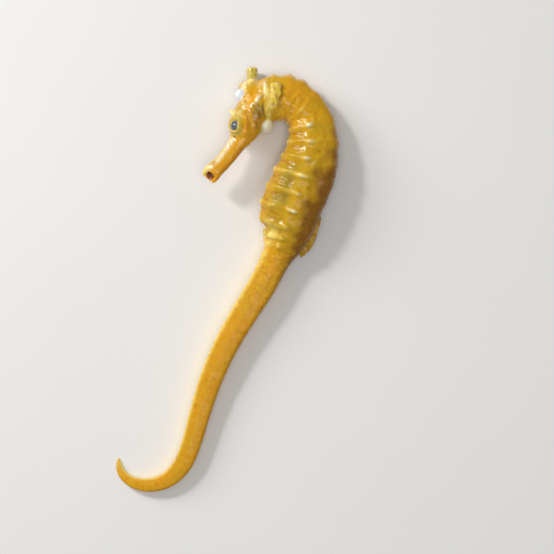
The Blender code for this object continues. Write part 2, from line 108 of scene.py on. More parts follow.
CORONET_HOLLOW = (                         # height and radius, from the rim to the middle
    (1.02, 0.90), (1.01, 0.82), (0.98, 0.74), (0.95, 0.66), (0.93, 0.57), (0.92, 0.49),
    (0.915, 0.40), (0.91, 0.31), (0.908, 0.23), (0.906, 0.15), (0.905, 0.07), (0.905, 0.02))
LUMP_RADII = (2.9, 3.2, 3.3)               # pale end of the shoulder ring at the throat
LUMP_DROP = 1.0

# ---------------------------------------------------------------- body plan
RING_PLACE = (15.4, 70.9)
RING_HEADING = 2.0
BODY_PLAN = (
    ("shoulder", 0.0, 0.0, 9.6, 8.6, 6.6),
    ("nape", 6.5, -8.0, 10.6, 7.8, 6.6),
    ("neck", 7.0, -32.0, 10.0, 7.1, 6.8),
    ("bend", 7.0, -34.0, 10.5, 7.2, 7.3),
    ("chest", 9.0, -22.0, 11.7, 8.7, 8.1),
    ("upper_trunk", 11.0, -12.0, 12.8, 10.8, 8.7),
    ("belly", 13.0, -2.0, 11.8, 12.7, 8.7),
    ("hip", 10.0, 1.0, 10.8, 10.9, 7.8),
    ("lap", 4.0, -0.9, 9.7, 7.7, 7.2),
    ("vent", 5.0, -1.1, 8.1, 6.1, 6.2),
    ("tail_root", 6.0, -4.0, 6.0, 6.0, 5.6),
    ("tail_a", 15.0, -9.0, 5.5, 5.6, 5.2),
    ("tail_b", 16.0, 1.5, 5.1, 5.1, 4.9),
    ("tail_c", 18.0, 8.0, 4.7, 4.7, 4.5),
    ("tail_d", 18.0, 6.0, 4.2, 4.2, 4.0),
    ("tail_e", 15.0, -2.0, 3.9, 3.9, 3.6),
    ("tail_f", 11.0, -22.0, 3.6, 3.5, 3.1),
    ("tail_g", 9.2, -33.0, 3.1, 2.7, 2.6),
    ("tail_h", 9.5, -34.0, 2.5, 2.0, 2.0),
    ("tail_i", 7.5, -42.0, 1.7, 1.3, 1.3),
    ("tail_tip", 5.5, -40.0, 0.6, 0.5, 0.5),
)
PRESS = 0.3
NECK_LIFT = 1.3
NECK_LIFT_FROM = 8.0
NECK_LIFT_FADE = 12.0
RING_LENGTH = 2.4
TRUNK_RINGS = 11
TRUNK_DRIFT = 3.9                          # rings shorten towards the hip
TAIL_RINGS = 36
TAIL_RING_RATIO = 0.972
DORSAL_FIN = (54.0, 71.0, 4.4, 62.0)       # start, end, height, lean
ANAL_FIN = (66.5, 71.8, 1.2, 45.0)
DORSAL_RAYS = 17
ANAL_RAYS = 5
MEDIAN_THICKNESS = 0.34
FIN_SUNK = 0.7                             # how deep the roots of these two lie in the skin
PECTORAL_RAYS = 13
PECTORAL_LOW = -1.4                        # lowest root, from the body spine
PECTORAL_ROOT = 7.6                        # length of the root
PECTORAL_LENGTH = 4.0
PECTORAL_SPREAD = 46.0
PECTORAL_AT = 3.5                          # body distance whose share of the turn it takes
PECTORAL_THICKNESS = 0.3

# Unit half sections from the middle of the back to the keel, (side, up).
CORNER_ANGLES = (0, 28, 56, 80, 100, 122, 142, 161, 180)
OVAL = tuple((math.sin(math.radians(a)), math.cos(math.radians(a))) for a in CORNER_ANGLES)
HEPTAGON = ((0.0, 0.92), (0.62, 1.0), (0.83, 0.55), (1.0, 0.11), (1.0, -0.10),
            (0.86, -0.38), (0.74, -0.66), (0.36, -0.85), (0.0, -1.0))
SQUARE = ((0.0, 0.95), (0.84, 1.0), (0.93, 0.55), (1.0, 0.14), (1.0, -0.14),
          (0.93, -0.55), (0.84, -1.0), (0.42, -0.96), (0.0, -0.95))

# ---------------------------------------------------------------- skin plan
SIDES = 128
SKIN_CUTS = (26, 27)                       # cuts of the first and the second subdivision
MOUTH_LOOPS = 26
SNOUT_LOOPS = 118
FAN_FROM = 27.0                            # head distance where the loops start to fan
FAN_LOOPS = 128
COLLAR_LOOPS = 16
TRUNK_LOOPS = 250
TRUNK_SOFTNESS = 4.5                       # of the corners, in skin vertices
TAIL_SOFTNESS = 3.6
FAN_BACK_END = 41.0                        # head distance where the top of the fan leaves the back
CROWN_POINTS = ((6.5, 79.2), (8.4, 80.2), (10.6, 80.4), (12.8, 79.6))
FAN_HALF_WIDTHS = ((0.0, 0.25, 0.55, 0.85, 1.0), (5.43, 5.9, 6.3, 6.4, 6.6))
TURN_FADE = (0.5, 7.0)                     # from this share of the fan to this body distance
FAN_AS_BODY = 6.0                          # the fan counts as this much body distance
UNTANGLE_PASSES = 90
FOLD_COSINE = 0.3                          # a loop turned by more than this counts as a fold
MOUTH_SIZES = (0.37, 0.14)                 # shares of the snout at the lips and at the hole's end
LIP_SIZE = 0.98                            # where the lips meet the outside
LIP_SETTLE = 2.0                           # length over which that grows to the full size
TAIL_SPREAD = 0.97                         # the tail's loops lie closer towards its tip
TIP_ROUND = 0.9                            # length of the rounded end of the tail
VENT_FADE = (4.0, 8.0)                     # trunk relief turns to tail relief round the vent

# ---------------------------------------------------------------- small features
NAPE_NUBS = (3.4, 8.0, 11.2)               # body distances
# side angle, share of the height, half width in degrees
KNOB_ROWS = ((30.0, 0.40, 12.0), (91.0, 1.0, 12.0), (142.0, 0.35, 12.0), (180.0, 0.42, 14.0))

# Lines on the straight head run between two (distance, height) places.
CREST = ((37.8, 1.9), (23.4, -2.1))        # between the gill cover and the eye
GILL_HIGHLIGHT_RIDGE = ((34.6, -0.9), (38.6, -1.9))  # ridge along the gill cover that carries a painted highlight
CROWN_RIDGE = ((38.4, 6.9), (43.5, 5.0))
BROW_RIDGE = ((27.5, 4.2), (35.0, 4.4))
SNOUT_RIDGE = ((2.5, 1.6), (17.5, 1.7))
# place on the straight head, height, width
HEAD_BUMPS = (
    ((22.9, -2.2, 4.3), 0.45, 1.6),
    ((29.5, 2.8, 5.3), 0.60, 1.0),
    ((32.1, 2.5, 5.6), 0.45, 1.0),
    ((27.0, 4.4, 4.6), 0.40, 1.0),
    ((40.6, 8.2, 1.0), 0.80, 1.0),
    ((41.0, 5.6, 4.8), 0.50, 1.0),
    ((42.6, 4.2, 5.2), 0.45, 0.9),
)
# Painted lines of the head: mark, strength, start, end, width. The pale and glint lines are painted
# highlights on the brow, behind the eye and along the gill cover.
HEAD_STROKES = (
    ("brown", 0.60, (30.1, 0.0), (24.6, -1.9), 1.1),
    # painted shadow below the gill cover
    ("brown", 0.65, (29.5, -3.4), (26.0, -5.3), 1.7),
    ("pale", 0.70, (27.0, 4.4), (28.4, 5.0), 1.2),
    ("pale", 0.50, *GILL_HIGHLIGHT_RIDGE, 0.9),
    ("pale", 0.50, (28.5, 2.6), (33.0, 2.6), 1.2),
    ("glint", 0.75, *GILL_HIGHLIGHT_RIDGE, 0.7),
    ("glint", 0.50, (27.6, 4.0), (28.2, 4.8), 0.9),
    ("glint", 0.40, (29.0, 2.8), (32.5, 2.6), 0.8),
)
# Dark spots of the flank: body distance, side angle, size.
SPOTS = ((32.0, 68.0, 1.1), (40.1, 68.0, 1.4), (51.6, 65.0, 1.3), (58.3, 90.0, 1.1),
         (39.8, 140.0, 1.1), (46.5, 72.0, 1.2))
# Painted shadow below the gill cover: place on the straight head.
CHEEK_SHADOW = (27.6, -4.4, 4.5)
# Painted highlight along the snout, through these (distance, height) places of the straight head.
SNOUT_SHINE = ((0.8, 0.8), (9.0, 0.2), (18.2, 1.0))


# ---------------------------------------------------------------- small maths
def smooth(t):
    """Ease from 0 to 1 as t runs from 0 to 1."""
    t = np.clip(t, 0.0, 1.0)
    return t * t * (3.0 - 2.0 * t)


def ramp(value, low, high):
    """Ease from 0 at `low` to 1 at `high`; falls if high is below low."""
    return smooth((value - low) / (high - low))


def hill(value, middle, width):
    """Bell of height 1 around `middle`."""
    return np.exp(-((value - middle) / width) ** 2)


def between(value, low, high, edge):
    """About 1 from low to high, with soft edges."""
    return ramp(value, low - edge, low + edge) * ramp(value, high + edge, high - edge)


def mottle(points, size, seed):
    """Smooth random values from -1 to 1 at points in millimetres."""
    shift = Vector((seed * 17.3, seed * 5.1, seed * 9.7))
    flat = points.reshape(-1, 3)
    values = [noise.noise(Vector(p) / size + shift) for p in flat]
    return np.array(values).reshape(points.shape[:-1])


class Curve:
    """A smooth curve of one size against the distance along a spine."""

    def __init__(self, places, values):
        self.places = np.array(places, float)
        self.values = np.array(values, float)
        last = len(places) - 1
        before = np.maximum(np.arange(last + 1) - 1, 0)
        after = np.minimum(np.arange(last + 1) + 1, last)
        rise = self.values[after] - self.values[before]
        self.slopes = rise / (self.places[after] - self.places[before])

    def at(self, s):
        """Values at the distances s."""
        s = np.asarray(s, float)
        i = np.clip(np.searchsorted(self.places, s, side="right") - 1, 0, len(self.places) - 2)
        span = self.places[i + 1] - self.places[i]
        t = (s - self.places[i]) / span
        u = np.clip(t, 0.0, 1.0)
        m0, m1 = self.slopes[i] * span, self.slopes[i + 1] * span
        inside = ((2 * u ** 3 - 3 * u ** 2 + 1) * self.values[i] + (u ** 3 - 2 * u ** 2 + u) * m0
                  + (3 * u ** 2 - 2 * u ** 3) * self.values[i + 1] + (u ** 3 - u ** 2) * m1)
        return inside + np.minimum(t, 0.0) * m0 + np.maximum(t - 1.0, 0.0) * m1


class Spine:
    """A flat spine with the section sizes along it."""

    STEP = 0.25
    BEYOND = 8.0

    def __init__(self, place, heading, plan):
        stations = np.cumsum([row[1] for row in plan])
        self.station = {row[0]: s for row, s in zip(plan, stations)}
        self.length = stations[-1]
        self.turn = Curve(stations, heading + np.cumsum([row[2] for row in plan]))
        self.back = Curve(stations, [row[3] for row in plan])
        self.belly = Curve(stations, [row[4] for row in plan])
        self.half_width = Curve(stations, [row[5] for row in plan])
        count = int((self.length + self.BEYOND) / self.STEP)
        angles = np.radians(self.turn.at((np.arange(count) + 0.5) * self.STEP))
        steps = np.stack((np.cos(angles), np.sin(angles)), -1) * self.STEP
        self.path = np.vstack((np.array(place, float), np.array(place, float)
                               + np.cumsum(steps, axis=0)))
        self.marks = np.arange(count + 1) * self.STEP

    def point(self, s):
        """Places of the spine in plan."""
        return np.stack([np.interp(s, self.marks, self.path[:, k]) for k in (0, 1)], -1)

    def along(self, s):
        """Unit directions of the spine, away from the mouth."""
        angle = np.radians(self.turn.at(s))
        return np.stack((np.cos(angle), np.sin(angle)), -1)

    def up(self, s):
        """Unit directions to the back of the animal, in plan."""
        angle = np.radians(self.turn.at(s))
        return np.stack((-np.sin(angle), np.cos(angle)), -1)

    def spots(self, s, up, out):
        """Points at distances s, `up` to the back and `out` to the left flank."""
        s, up, out = np.broadcast_arrays(np.asarray(s, float), up, out)
        flat = self.point(s) + self.up(s) * up[..., None]
        return np.concatenate((flat, out[..., None]), -1)


HEAD = Spine(MOUTH_PLACE, MOUTH_HEADING, HEAD_PLAN)
BODY = Spine(RING_PLACE, RING_HEADING, BODY_PLAN)


def body_height(s):
    """Height of the body spine over the floor."""
    lift = NECK_LIFT * (1.0 - smooth((s - NECK_LIFT_FROM) / NECK_LIFT_FADE))
    return BODY.half_width.at(s) - PRESS + lift


HEAD_AXIS = Vector((*HEAD.along(HEAD.length), 0.0))
HEAD_UP = Vector((*HEAD.up(HEAD.length), 0.0))
PIVOT = np.array((RING_PLACE[0], RING_PLACE[1], float(body_height(0.0))))


def head_turn(amount):
    """Rotation of the head, as an array, at a share of its whole turn."""
    yaw = Matrix.Rotation(math.radians(HEAD_YAW * amount), 3, HEAD_UP)
    roll = Matrix.Rotation(math.radians(-HEAD_ROLL * amount), 3, HEAD_AXIS)
    return np.array(yaw @ roll)


def turn_rows(points, amounts):
    """Turn each row of points about the shoulder ring by its share."""
    turns = np.array([head_turn(amount) for amount in amounts])
    return np.einsum("rij,rkj->rki", turns, points - PIVOT) + PIVOT


def head_spots(s, up, out):
    """Points of the turned head, by distance, height over its axis and side."""
    straight = HEAD.spots(s, up, out) + np.array((0.0, 0.0, PIVOT[2]))
    return (straight - PIVOT) @ head_turn(1.0).T + PIVOT


def body_spots(s, up, out):
    """Points of the body, by distance, height over its spine and side."""
    spots = BODY.spots(s, up, out)
    spots[..., 2] += body_height(np.broadcast_to(s, spots.shape[:-1]))
    return spots


# ---------------------------------------------------------------- sections
def closed_section(half, softness):
    """Spread a half section over all the sides of the skin, corners softened."""
    corners = np.linspace(0.0, len(half) - 1, SIDES // 2 + 1)
    indices = np.arange(len(half))
    left = np.stack([np.interp(corners, indices, [c[k] for c in half]) for k in (0, 1)], -1)
    right = left[1:-1][::-1] * np.array((-1.0, 1.0))
    ring = np.concatenate((left, right))
    if softness > 0.0:
        reach = np.arange(-12, 13)
        weights = np.exp(-0.5 * (reach / softness) ** 2)
        weights /= weights.sum()
        wanted = np.abs((ring.min(axis=0), ring.max(axis=0)))
        ring = sum(w * np.roll(ring, shift, axis=0) for w, shift in zip(weights, reach))
        reached = np.abs((ring.min(axis=0), ring.max(axis=0)))
        ring = ring * np.where(ring < 0.0, *(wanted / reached))
    return ring


SIDE_ANGLES = np.interp(np.linspace(0.0, 16.0, SIDES + 1)[:-1], np.arange(17),
                        (*CORNER_ANGLES, *(360 - a for a in CORNER_ANGLES[-2::-1])))
ROUND_RING = closed_section(OVAL, 0.0)
TRUNK_RING = closed_section(HEPTAGON, TRUNK_SOFTNESS)
TAIL_RING = closed_section(SQUARE, TAIL_SOFTNESS)


def head_ring():
    """Unit oval of the head, as (side, up) for each side of the skin."""
    angle = np.radians(SIDE_ANGLES)
    side = np.copysign(np.abs(np.sin(angle)) ** HEAD_SQUARENESS, np.sin(angle))
    up = np.copysign(np.abs(np.cos(angle)) ** HEAD_SQUARENESS, np.cos(angle))
    return np.stack((side, up), -1)


def body_ring(s):
    """Unit sections of the body at distances s."""
    angular = 0.35 + 0.65 * smooth(s / BODY.station["chest"])
    hip, tail = BODY.station["hip"], BODY.station["tail_a"]
    square = smooth((s - hip) / (tail - hip))[:, None, None]
    trunk = ROUND_RING + (TRUNK_RING - ROUND_RING) * angular[:, None, None]
    return trunk + (TAIL_RING - trunk) * square


def body_sizes(s):
    """Height over the spine and side of each skin vertex at distances s."""
    ring = body_ring(s)
    depth = np.where(ring[..., 1] > 0.0, BODY.back.at(s)[:, None], BODY.belly.at(s)[:, None])
    return ring[..., 1] * depth, ring[..., 0] * BODY.half_width.at(s)[:, None]


def ring_places():
    """Distances of the ring edges of the trunk and of the tail."""
    vent = BODY.station["vent"]
    first = RING_LENGTH + PRESS
    share = np.arange(TRUNK_RINGS + 1) / TRUNK_RINGS
    trunk = first + (vent - first) * share + TRUNK_DRIFT * np.sin(math.pi * share ** 3)
    shares = TAIL_RING_RATIO ** np.arange(TAIL_RINGS)
    tail = vent + np.cumsum(shares) * (BODY.length - vent) / shares.sum()
    return np.concatenate((trunk, tail))


# ---------------------------------------------------------------- skin surface
def untangle(points, first):
    """Even out loops that fold over each other, from one loop on."""
    part = points[first:].copy()
    for _ in range(UNTANGLE_PASSES):
        step = np.diff(part, axis=0)
        length = np.linalg.norm(step, axis=-1)
        back = (step[1:] * step[:-1]).sum(axis=-1) < FOLD_COSINE * length[1:] * length[:-1]
        for axis in (0, 1):
            back = back | np.roll(back, 1, axis=axis) | np.roll(back, -1, axis=axis)
        mean = (part[:-2] + part[2:] + np.roll(part, 1, axis=1)[1:-1]
                + np.roll(part, -1, axis=1)[1:-1]) / 4.0
        part[1:-1] = np.where(back[..., None], mean, part[1:-1])
    return np.concatenate((points[:first], part))


class Skin:
    """The animal's surface as a grid of loops by sides, with its markings."""

    def __init__(self):
        self.points = []
        self.s = []            # distance along the body, below 0 on the head
        self.h = []            # distance along the head
        self.up = []
        self.out = []
        self.snout_rows()
        self.fan_rows()
        self.body_rows()
        for name in ("points", "s", "h", "up", "out"):
            setattr(self, name, np.concatenate(getattr(self, name)))
        self.angle = np.minimum(SIDE_ANGLES, 360.0 - SIDE_ANGLES)[None, :]
        self.marks = {}

    def first_rows(self, count):
        """True on the first loops, which lie in the mouth and on the lips."""
        return (np.arange(len(self.s)) < count)[:, None]

    def add_rows(self, points, s, h, up, out):
        """Append a block of loops."""
        shape = points.shape[:2]
        self.points.append(points)
        self.s.append(np.broadcast_to(s, shape).copy())
        self.h.append(np.broadcast_to(h, shape).copy())
        self.up.append(np.broadcast_to(up, shape).copy())
        self.out.append(np.broadcast_to(out, shape).copy())

    def snout_rows(self):
        """Loops inside the mouth, over the lips, the snout and the cheeks."""
        inner = MOUTH_LOOPS // 2
        depth = np.linspace(1.0, 0.0, inner, endpoint=False)
        inside_s = LIP_ROUND + (MOUTH_DEPTH - LIP_ROUND) * depth
        mouth_size, end_size = MOUTH_SIZES
        inside_size = mouth_size - (mouth_size - end_size) * depth ** 2
        over = np.linspace(0.0, math.pi, MOUTH_LOOPS - inner)
        lip_s = LIP_ROUND * (1.0 - np.sin(over))
        lip_size = (LIP_SIZE + mouth_size) / 2.0 - (LIP_SIZE - mouth_size) / 2.0 * np.cos(over)
        outside_s = np.linspace(LIP_ROUND, FAN_FROM, SNOUT_LOOPS + 1)[1:]
        s = np.concatenate((inside_s, lip_s, outside_s))[:, None]
        unsettled = np.clip(1.0 - (outside_s - LIP_ROUND) / LIP_SETTLE, 0.0, 1.0)
        settle = 1.0 - (1.0 - LIP_SIZE) * unsettled
        size = np.concatenate((inside_size, lip_size, settle))[:, None]
        ring = head_ring()
        middle = (HEAD.back.at(s) - HEAD.belly.at(s)) / 2.0 - MOUTH_DROP * (1.0 - size)
        tall = (HEAD.back.at(s) + HEAD.belly.at(s)) / 2.0 * size
        up = middle + tall * ring[None, :, 1]
        out = HEAD.half_width.at(s) * size * ring[None, :, 0]
        at_mouth = 1.0 - smooth(s / MOUTH_FADE)
        chin = MOUTH_CHIN * at_mouth * smooth((-ring[None, :, 1] - 0.2) / 0.8)
        lean = MOUTH_SKEW * at_mouth * (out + MOUTH_SHIFT)
        points = HEAD.spots(s + lean + chin * size ** 2, up, out)
        points[..., 2] += PIVOT[2]
        self.add_rows(turn_rows(points, np.ones(len(s))), -1.0 - FAN_AS_BODY, s, up, out)

    def fan_rows(self):
        """Loops that swing from the head axis to the shoulder ring round the throat."""
        heights = np.linspace(FAN_FROM, FAN_BACK_END, 6)
        back = HEAD.spots(heights, HEAD.back.at(heights), 0.0)[:, :2]
        up, out = body_sizes(np.array((0.0,)))
        ring_top = BODY.spots(0.0, up[0].max(), 0.0)[:2]
        ring_keel = BODY.spots(0.0, up[0].min(), 0.0)[:2]
        rail = np.vstack((back, CROWN_POINTS, ring_top))
        steps = np.linalg.norm(np.diff(rail, axis=0), axis=1)
        marks = np.concatenate(((0.0,), np.cumsum(steps))) / steps.sum()
        w = np.linspace(0.0, 1.0, FAN_LOOPS + 1)[1:]
        top = np.stack([Curve(marks, rail[:, k]).at(w) for k in (0, 1)], -1)
        throat = HEAD.spots(FAN_FROM, -HEAD.belly.at(FAN_FROM), 0.0)[:2]
        keel = throat + (ring_keel - throat) * w[:, None]
        oval = head_ring()
        body = np.stack((out[0] / np.abs(out[0]).max(),
                         2.0 * (up[0] - up[0].min()) / np.ptp(up[0]) - 1.0), -1)
        as_body = smooth((w - 0.5) / 0.5)[:, None, None]
        ring = oval + (body - oval) * as_body
        share = (1.0 + ring[..., 1:]) / 2.0
        flat = keel[:, None, :] + (top - keel)[:, None, :] * share
        side = ring[..., 0] * Curve(*FAN_HALF_WIDTHS).at(w)[:, None]
        straight = np.concatenate((flat, side[..., None]), -1)
        from_axis = flat - HEAD.point(FAN_FROM)
        h = FAN_FROM + from_axis @ HEAD.along(FAN_FROM + 1.0)
        over = from_axis @ HEAD.up(FAN_FROM + 1.0)
        straight[..., 2] += PIVOT[2]
        s = (w - 1.0) * FAN_AS_BODY
        points = turn_rows(straight, self.turn_share(s))
        self.add_rows(points, s[:, None], h, over, side)

    @staticmethod
    def turn_share(s):
        """How much of the head's turn a loop takes."""
        start = (TURN_FADE[0] - 1.0) * FAN_AS_BODY
        return 1.0 - smooth((s - start) / (TURN_FADE[1] - start))

    def body_rows(self):
        """Loops of the collar, trunk and tail."""
        vent, first = BODY.station["vent"], RING_LENGTH + PRESS
        count = (SKIN_CUTS[0] + 1) * (SKIN_CUTS[1] + 1) + 1
        rest = count - MOUTH_LOOPS - SNOUT_LOOPS - FAN_LOOPS - COLLAR_LOOPS - TRUNK_LOOPS
        collar = np.linspace(0.0, first, COLLAR_LOOPS + 1)[1:]
        trunk = np.linspace(first, vent, TRUNK_LOOPS + 1)[1:]
        share = np.linspace(0.0, 1.0, rest + 1)[1:] ** TAIL_SPREAD
        tail = vent + (BODY.length - vent) * share
        s = np.concatenate((collar, trunk, tail))
        up, out = body_sizes(s)
        ahead = np.clip((BODY.length - s) / TIP_ROUND, 0.0, 1.0)
        tip = np.sqrt(np.clip(1.0 - (1.0 - ahead) ** 2, 0.02, 1.0))[:, None]
        up, out = up * tip, out * tip
        points = turn_rows(body_spots(s[:, None], up, out), self.turn_share(s))
        self.add_rows(points, s[:, None], 99.0, up, out)

    # ------------------------------------------------------------ shaping
    def normals(self):
        """Outward directions of the surface."""
        rows = np.gradient(self.points, axis=0)
        sides = np.roll(self.points, -1, axis=1) - np.roll(self.points, 1, axis=1)
        normal = np.cross(sides, rows)
        length = np.linalg.norm(normal, axis=-1, keepdims=True)
        return normal / np.maximum(length, 1e-9)

    def raise_by(self, amount):
        """Move the surface outwards by millimetres."""
        self.points = self.points + self.normals() * amount[..., None]

    def nearest(self, s, angle):
        """Grid place of the skin at a body distance and side angle."""
        row = int(np.argmin(np.abs(self.s[:, 0] - s)))
        return row, int(np.argmin(np.abs(SIDE_ANGLES - angle)))

    def distance(self, place):
        """Distance of every vertex from a grid place."""
        return np.linalg.norm(self.points - self.points[place], axis=-1)

    def from_head(self, place):
        """Distance of every vertex from a place of the straight head, both sides."""
        gap = np.stack((self.h - place[0], self.up - place[1], np.abs(self.out) - place[2]), -1)
        return np.linalg.norm(gap, axis=-1)

    def head_line(self, start, end, width):
        """Bell along a line of the head, given as (distance, height) of its ends."""
        run = np.array(end) - np.array(start)
        gap = np.stack((self.h - start[0], self.up - start[1]), -1)
        t = np.clip(gap @ run / (run @ run), 0.0, 1.0)
        off = np.linalg.norm(gap - t[..., None] * run, axis=-1)
        return np.exp(-(off / width) ** 2) * (self.s < 0.0)


def swell(points, inner, centre, axes, radii, soft):
    """Grow a surface over an egg; rays run from a point inside both."""
    ray = ((points - centre) @ axes.T) / radii
    start = ((inner - centre) @ axes.T) / radii
    ray = ray - start
    reach = np.linalg.norm(ray, axis=-1)
    way = ray / np.maximum(reach, 1e-6)[..., None]
    mid = -(way @ start)
    inside = mid ** 2 - start @ start + 1.0
    egg = np.where(inside > 0.0, mid + np.sqrt(np.maximum(inside, 0.0)), 0.0)
    grown = (reach + egg + np.sqrt((reach - egg) ** 2 + soft ** 2)) / 2.0
    lift = (grown - reach) * ramp(egg - reach, -2.0 * soft, -0.5 * soft)
    return centre + ((start + way * (reach + lift)[..., None]) * radii) @ axes, lift


def crumpled(points, size, seed):
    """Sharp irregular folds, about -1 to 1."""
    return 1.0 - 4.0 * np.abs(mottle(points, size, seed))


def shape_rings(skin):
    """Raised ring edges, sunk plates and the low knobs of trunk and tail."""
    edges = ring_places()
    s = skin.s + 0.45 * mottle(skin.points, 5.0, 11)
    place = np.clip(np.searchsorted(edges, s) - 1, 0, len(edges) - 2)
    phase = np.clip((s - edges[place]) / (edges[place + 1] - edges[place]), 0.0, 1.0)
    near = np.min(np.abs(s[..., None] - edges), axis=-1)
    vent = BODY.station["vent"]
    on_body = ramp(s, RING_LENGTH, RING_LENGTH + 1.0)
    on_tail = ramp(s, vent - VENT_FADE[0], vent + VENT_FADE[1])
    on_belly = ramp(skin.angle, 60.0, 95.0)
    on_trunk = ramp(s, 12.0, 24.0)
    fade = 1.0 - 0.75 * ramp(s, vent, BODY.length)
    edge = np.exp(-(near / (1.35 - 0.8 * on_tail)) ** 2) * on_body
    edge_rise = (0.27 * (0.75 + 0.25 * on_belly) * (0.4 + 0.6 * on_trunk) * (1.0 - on_tail)
                 + 0.03 * on_tail)
    sink = (0.16 * on_belly * (1.0 - on_tail) + 0.02 * on_tail) * on_trunk
    rough = 1.0 + 1.1 * mottle(skin.points, 3.2, 4)
    folds = np.sin(4.0 * np.pi * phase + 2.5 * mottle(skin.points, 4.0, 17)) * (1.0 - edge)
    folds = folds * 0.07 * ramp(skin.angle, 100.0, 125.0) * on_trunk * (1.0 - on_tail) * rough
    rise = (edge * edge_rise * rough + folds - sink * np.sin(np.pi * phase) ** 2) * fade
    neck = between(s, 4.0, 21.0, 3.0) * between(skin.angle, 55.0, 130.0, 16.0)
    rise += 0.26 * neck * crumpled(skin.points, 4.2, 18)
    rise += 0.10 * on_trunk * (1.0 - on_tail) * crumpled(skin.points, 5.0, 25)
    broken = np.clip(0.6 + 1.2 * mottle(skin.points, 2.4, 15), 0.0, 1.0)
    crease = hill(s, 20.3, 0.9) * between(skin.angle, 70.0, 118.0, 14.0) * broken
    rise += 0.45 * crease
    skin.marks["edge"] = edge
    skin.marks["trough"] = (np.clip(-folds * 16.0, 0.0, 1.0)
                            + 0.5 * np.sin(np.pi * phase) ** 2 * (1.0 - edge))
    skin.marks["crease"] = crease
    skin.marks["knob"] = knob_rows(skin, s, edges)
    skin.raise_by(rise + skin.marks["knob"])


def knob_rows(skin, s, edges):
    """Heights of the knobs where the ring edges cross the ridges of the body."""
    vent = BODY.station["vent"]
    knobs = np.zeros_like(s)
    for number, at in enumerate(edges[1:-4]):
        tail = float(ramp(at, vent - VENT_FADE[0], vent + VENT_FADE[1]))
        tall = (0.85 - 0.80 * tail) * float(1.0 - 0.75 * ramp(at, vent, BODY.length))
        tall *= 0.25 + 0.75 * float(ramp(at, 12.0, 22.0))
        for angle, share, wide in KNOB_ROWS:
            uneven = 1.0 + 0.35 * math.sin(2.4 * number + angle)
            across = hill(skin.angle, angle + 3.0 * math.sin(5.1 * number), wide)
            knobs = np.maximum(knobs, tall * share * uneven * hill(s, at, 1.0) * across)
    for at in NAPE_NUBS:
        knobs = np.maximum(knobs, hill(skin.s, at, 1.1) * hill(skin.angle, 0.0, 24.0))
    return knobs


def shape_collar(skin):
    """Bone ring behind the gills, with its pale thick end at the throat."""
    s = skin.s + 0.5 * mottle(skin.points, 3.5, 9)
    lumpy = 1.0 + 0.7 * mottle(skin.points, 1.6, 10)
    bow = 0.8 * np.sin(np.radians(np.clip(skin.angle - 50.0, 0.0, 125.0) * 1.44)) - 0.2
    band = between(s, 0.4, RING_LENGTH, 0.6)
    ridge = between(s, 0.3 + bow, 2.6 + bow, 0.9) * on_side(skin, 58.0, 178.0)
    # raised streak at the top of the ring that carries a painted highlight
    streak = hill(s, 0.6 + bow, 0.8) * between(skin.angle, 44.0, 82.0, 8.0)
    slit = hill(s, -0.4, 1.0) * between(skin.angle, 50.0, 160.0, 14.0)
    skin.raise_by(0.20 * band * lumpy + 0.26 * ridge * lumpy + 0.40 * streak * lumpy
                  + 0.15 * slit)
    row, keel_side = skin.nearest(0.8, 180.0)
    keel, crown = skin.points[row, keel_side], skin.points[row, 0]
    down = (keel - crown) / np.linalg.norm(keel - crown)
    along = np.array((*BODY.along(0.8), 0.0))
    along = along - down * (along @ down)
    along = along / np.linalg.norm(along)
    axes = np.array((along, down, np.cross(along, down)))
    centre = keel + down * LUMP_DROP - along * 0.6
    points, lift = swell(skin.points, keel - down * 3.5, centre, axes, np.array(LUMP_RADII), 0.30)
    near = (np.abs(skin.s) < 8.0) & (skin.angle > 100.0)
    skin.points = np.where(near[..., None], points, skin.points)
    cloudy = 0.85 + 0.7 * mottle(skin.points, 2.6, 27)
    painted = between(s, 0.1 + bow, 2.9 + bow, 1.5)
    skin.marks["collar"] = painted * on_side(skin, 58.0, 178.0) * cloudy
    skin.marks["lump"] = np.clip(lift * 4.0, 0.0, 1.0) * near
    skin.raise_by(0.14 * skin.marks["lump"] * mottle(skin.points, 2.2, 16))
    skin.marks["streak"] = streak
    skin.marks["slit"] = slit


def on_side(skin, low, high):
    """About 1 between two side angles."""
    return between(skin.angle, low, high, 10.0)


def shape_gills(skin):
    """Domed gill covers with fine ribs and a groove round them."""
    tilt = math.radians(GILL_TILT)
    ahead, over = skin.h - GILL_PLACE[0], skin.up - GILL_PLACE[1]
    along = (ahead * math.cos(tilt) + over * math.sin(tilt)) / GILL_RADII[0]
    across = (over * math.cos(tilt) - ahead * math.sin(tilt)) / GILL_RADII[1]
    reach = np.hypot(along, across)
    on_head = ramp(skin.s, 0.3, -1.0)
    dome = np.clip(1.0 - reach ** 2, 0.0, 1.0) ** 0.8 * on_head
    groove = hill(reach, 1.07, 0.10) * on_head
    fan = np.arctan2(skin.up - GILL_PLACE[1] + 3.0, skin.h - GILL_PLACE[0] + 4.0)
    ribs = np.sin(fan * 34.0) * dome
    lumps = mottle(skin.points, 2.2, 12) * dome
    skin.raise_by(0.95 * dome - 0.14 * groove + 0.012 * ribs + 0.14 * lumps)
    skin.marks["gill"] = dome


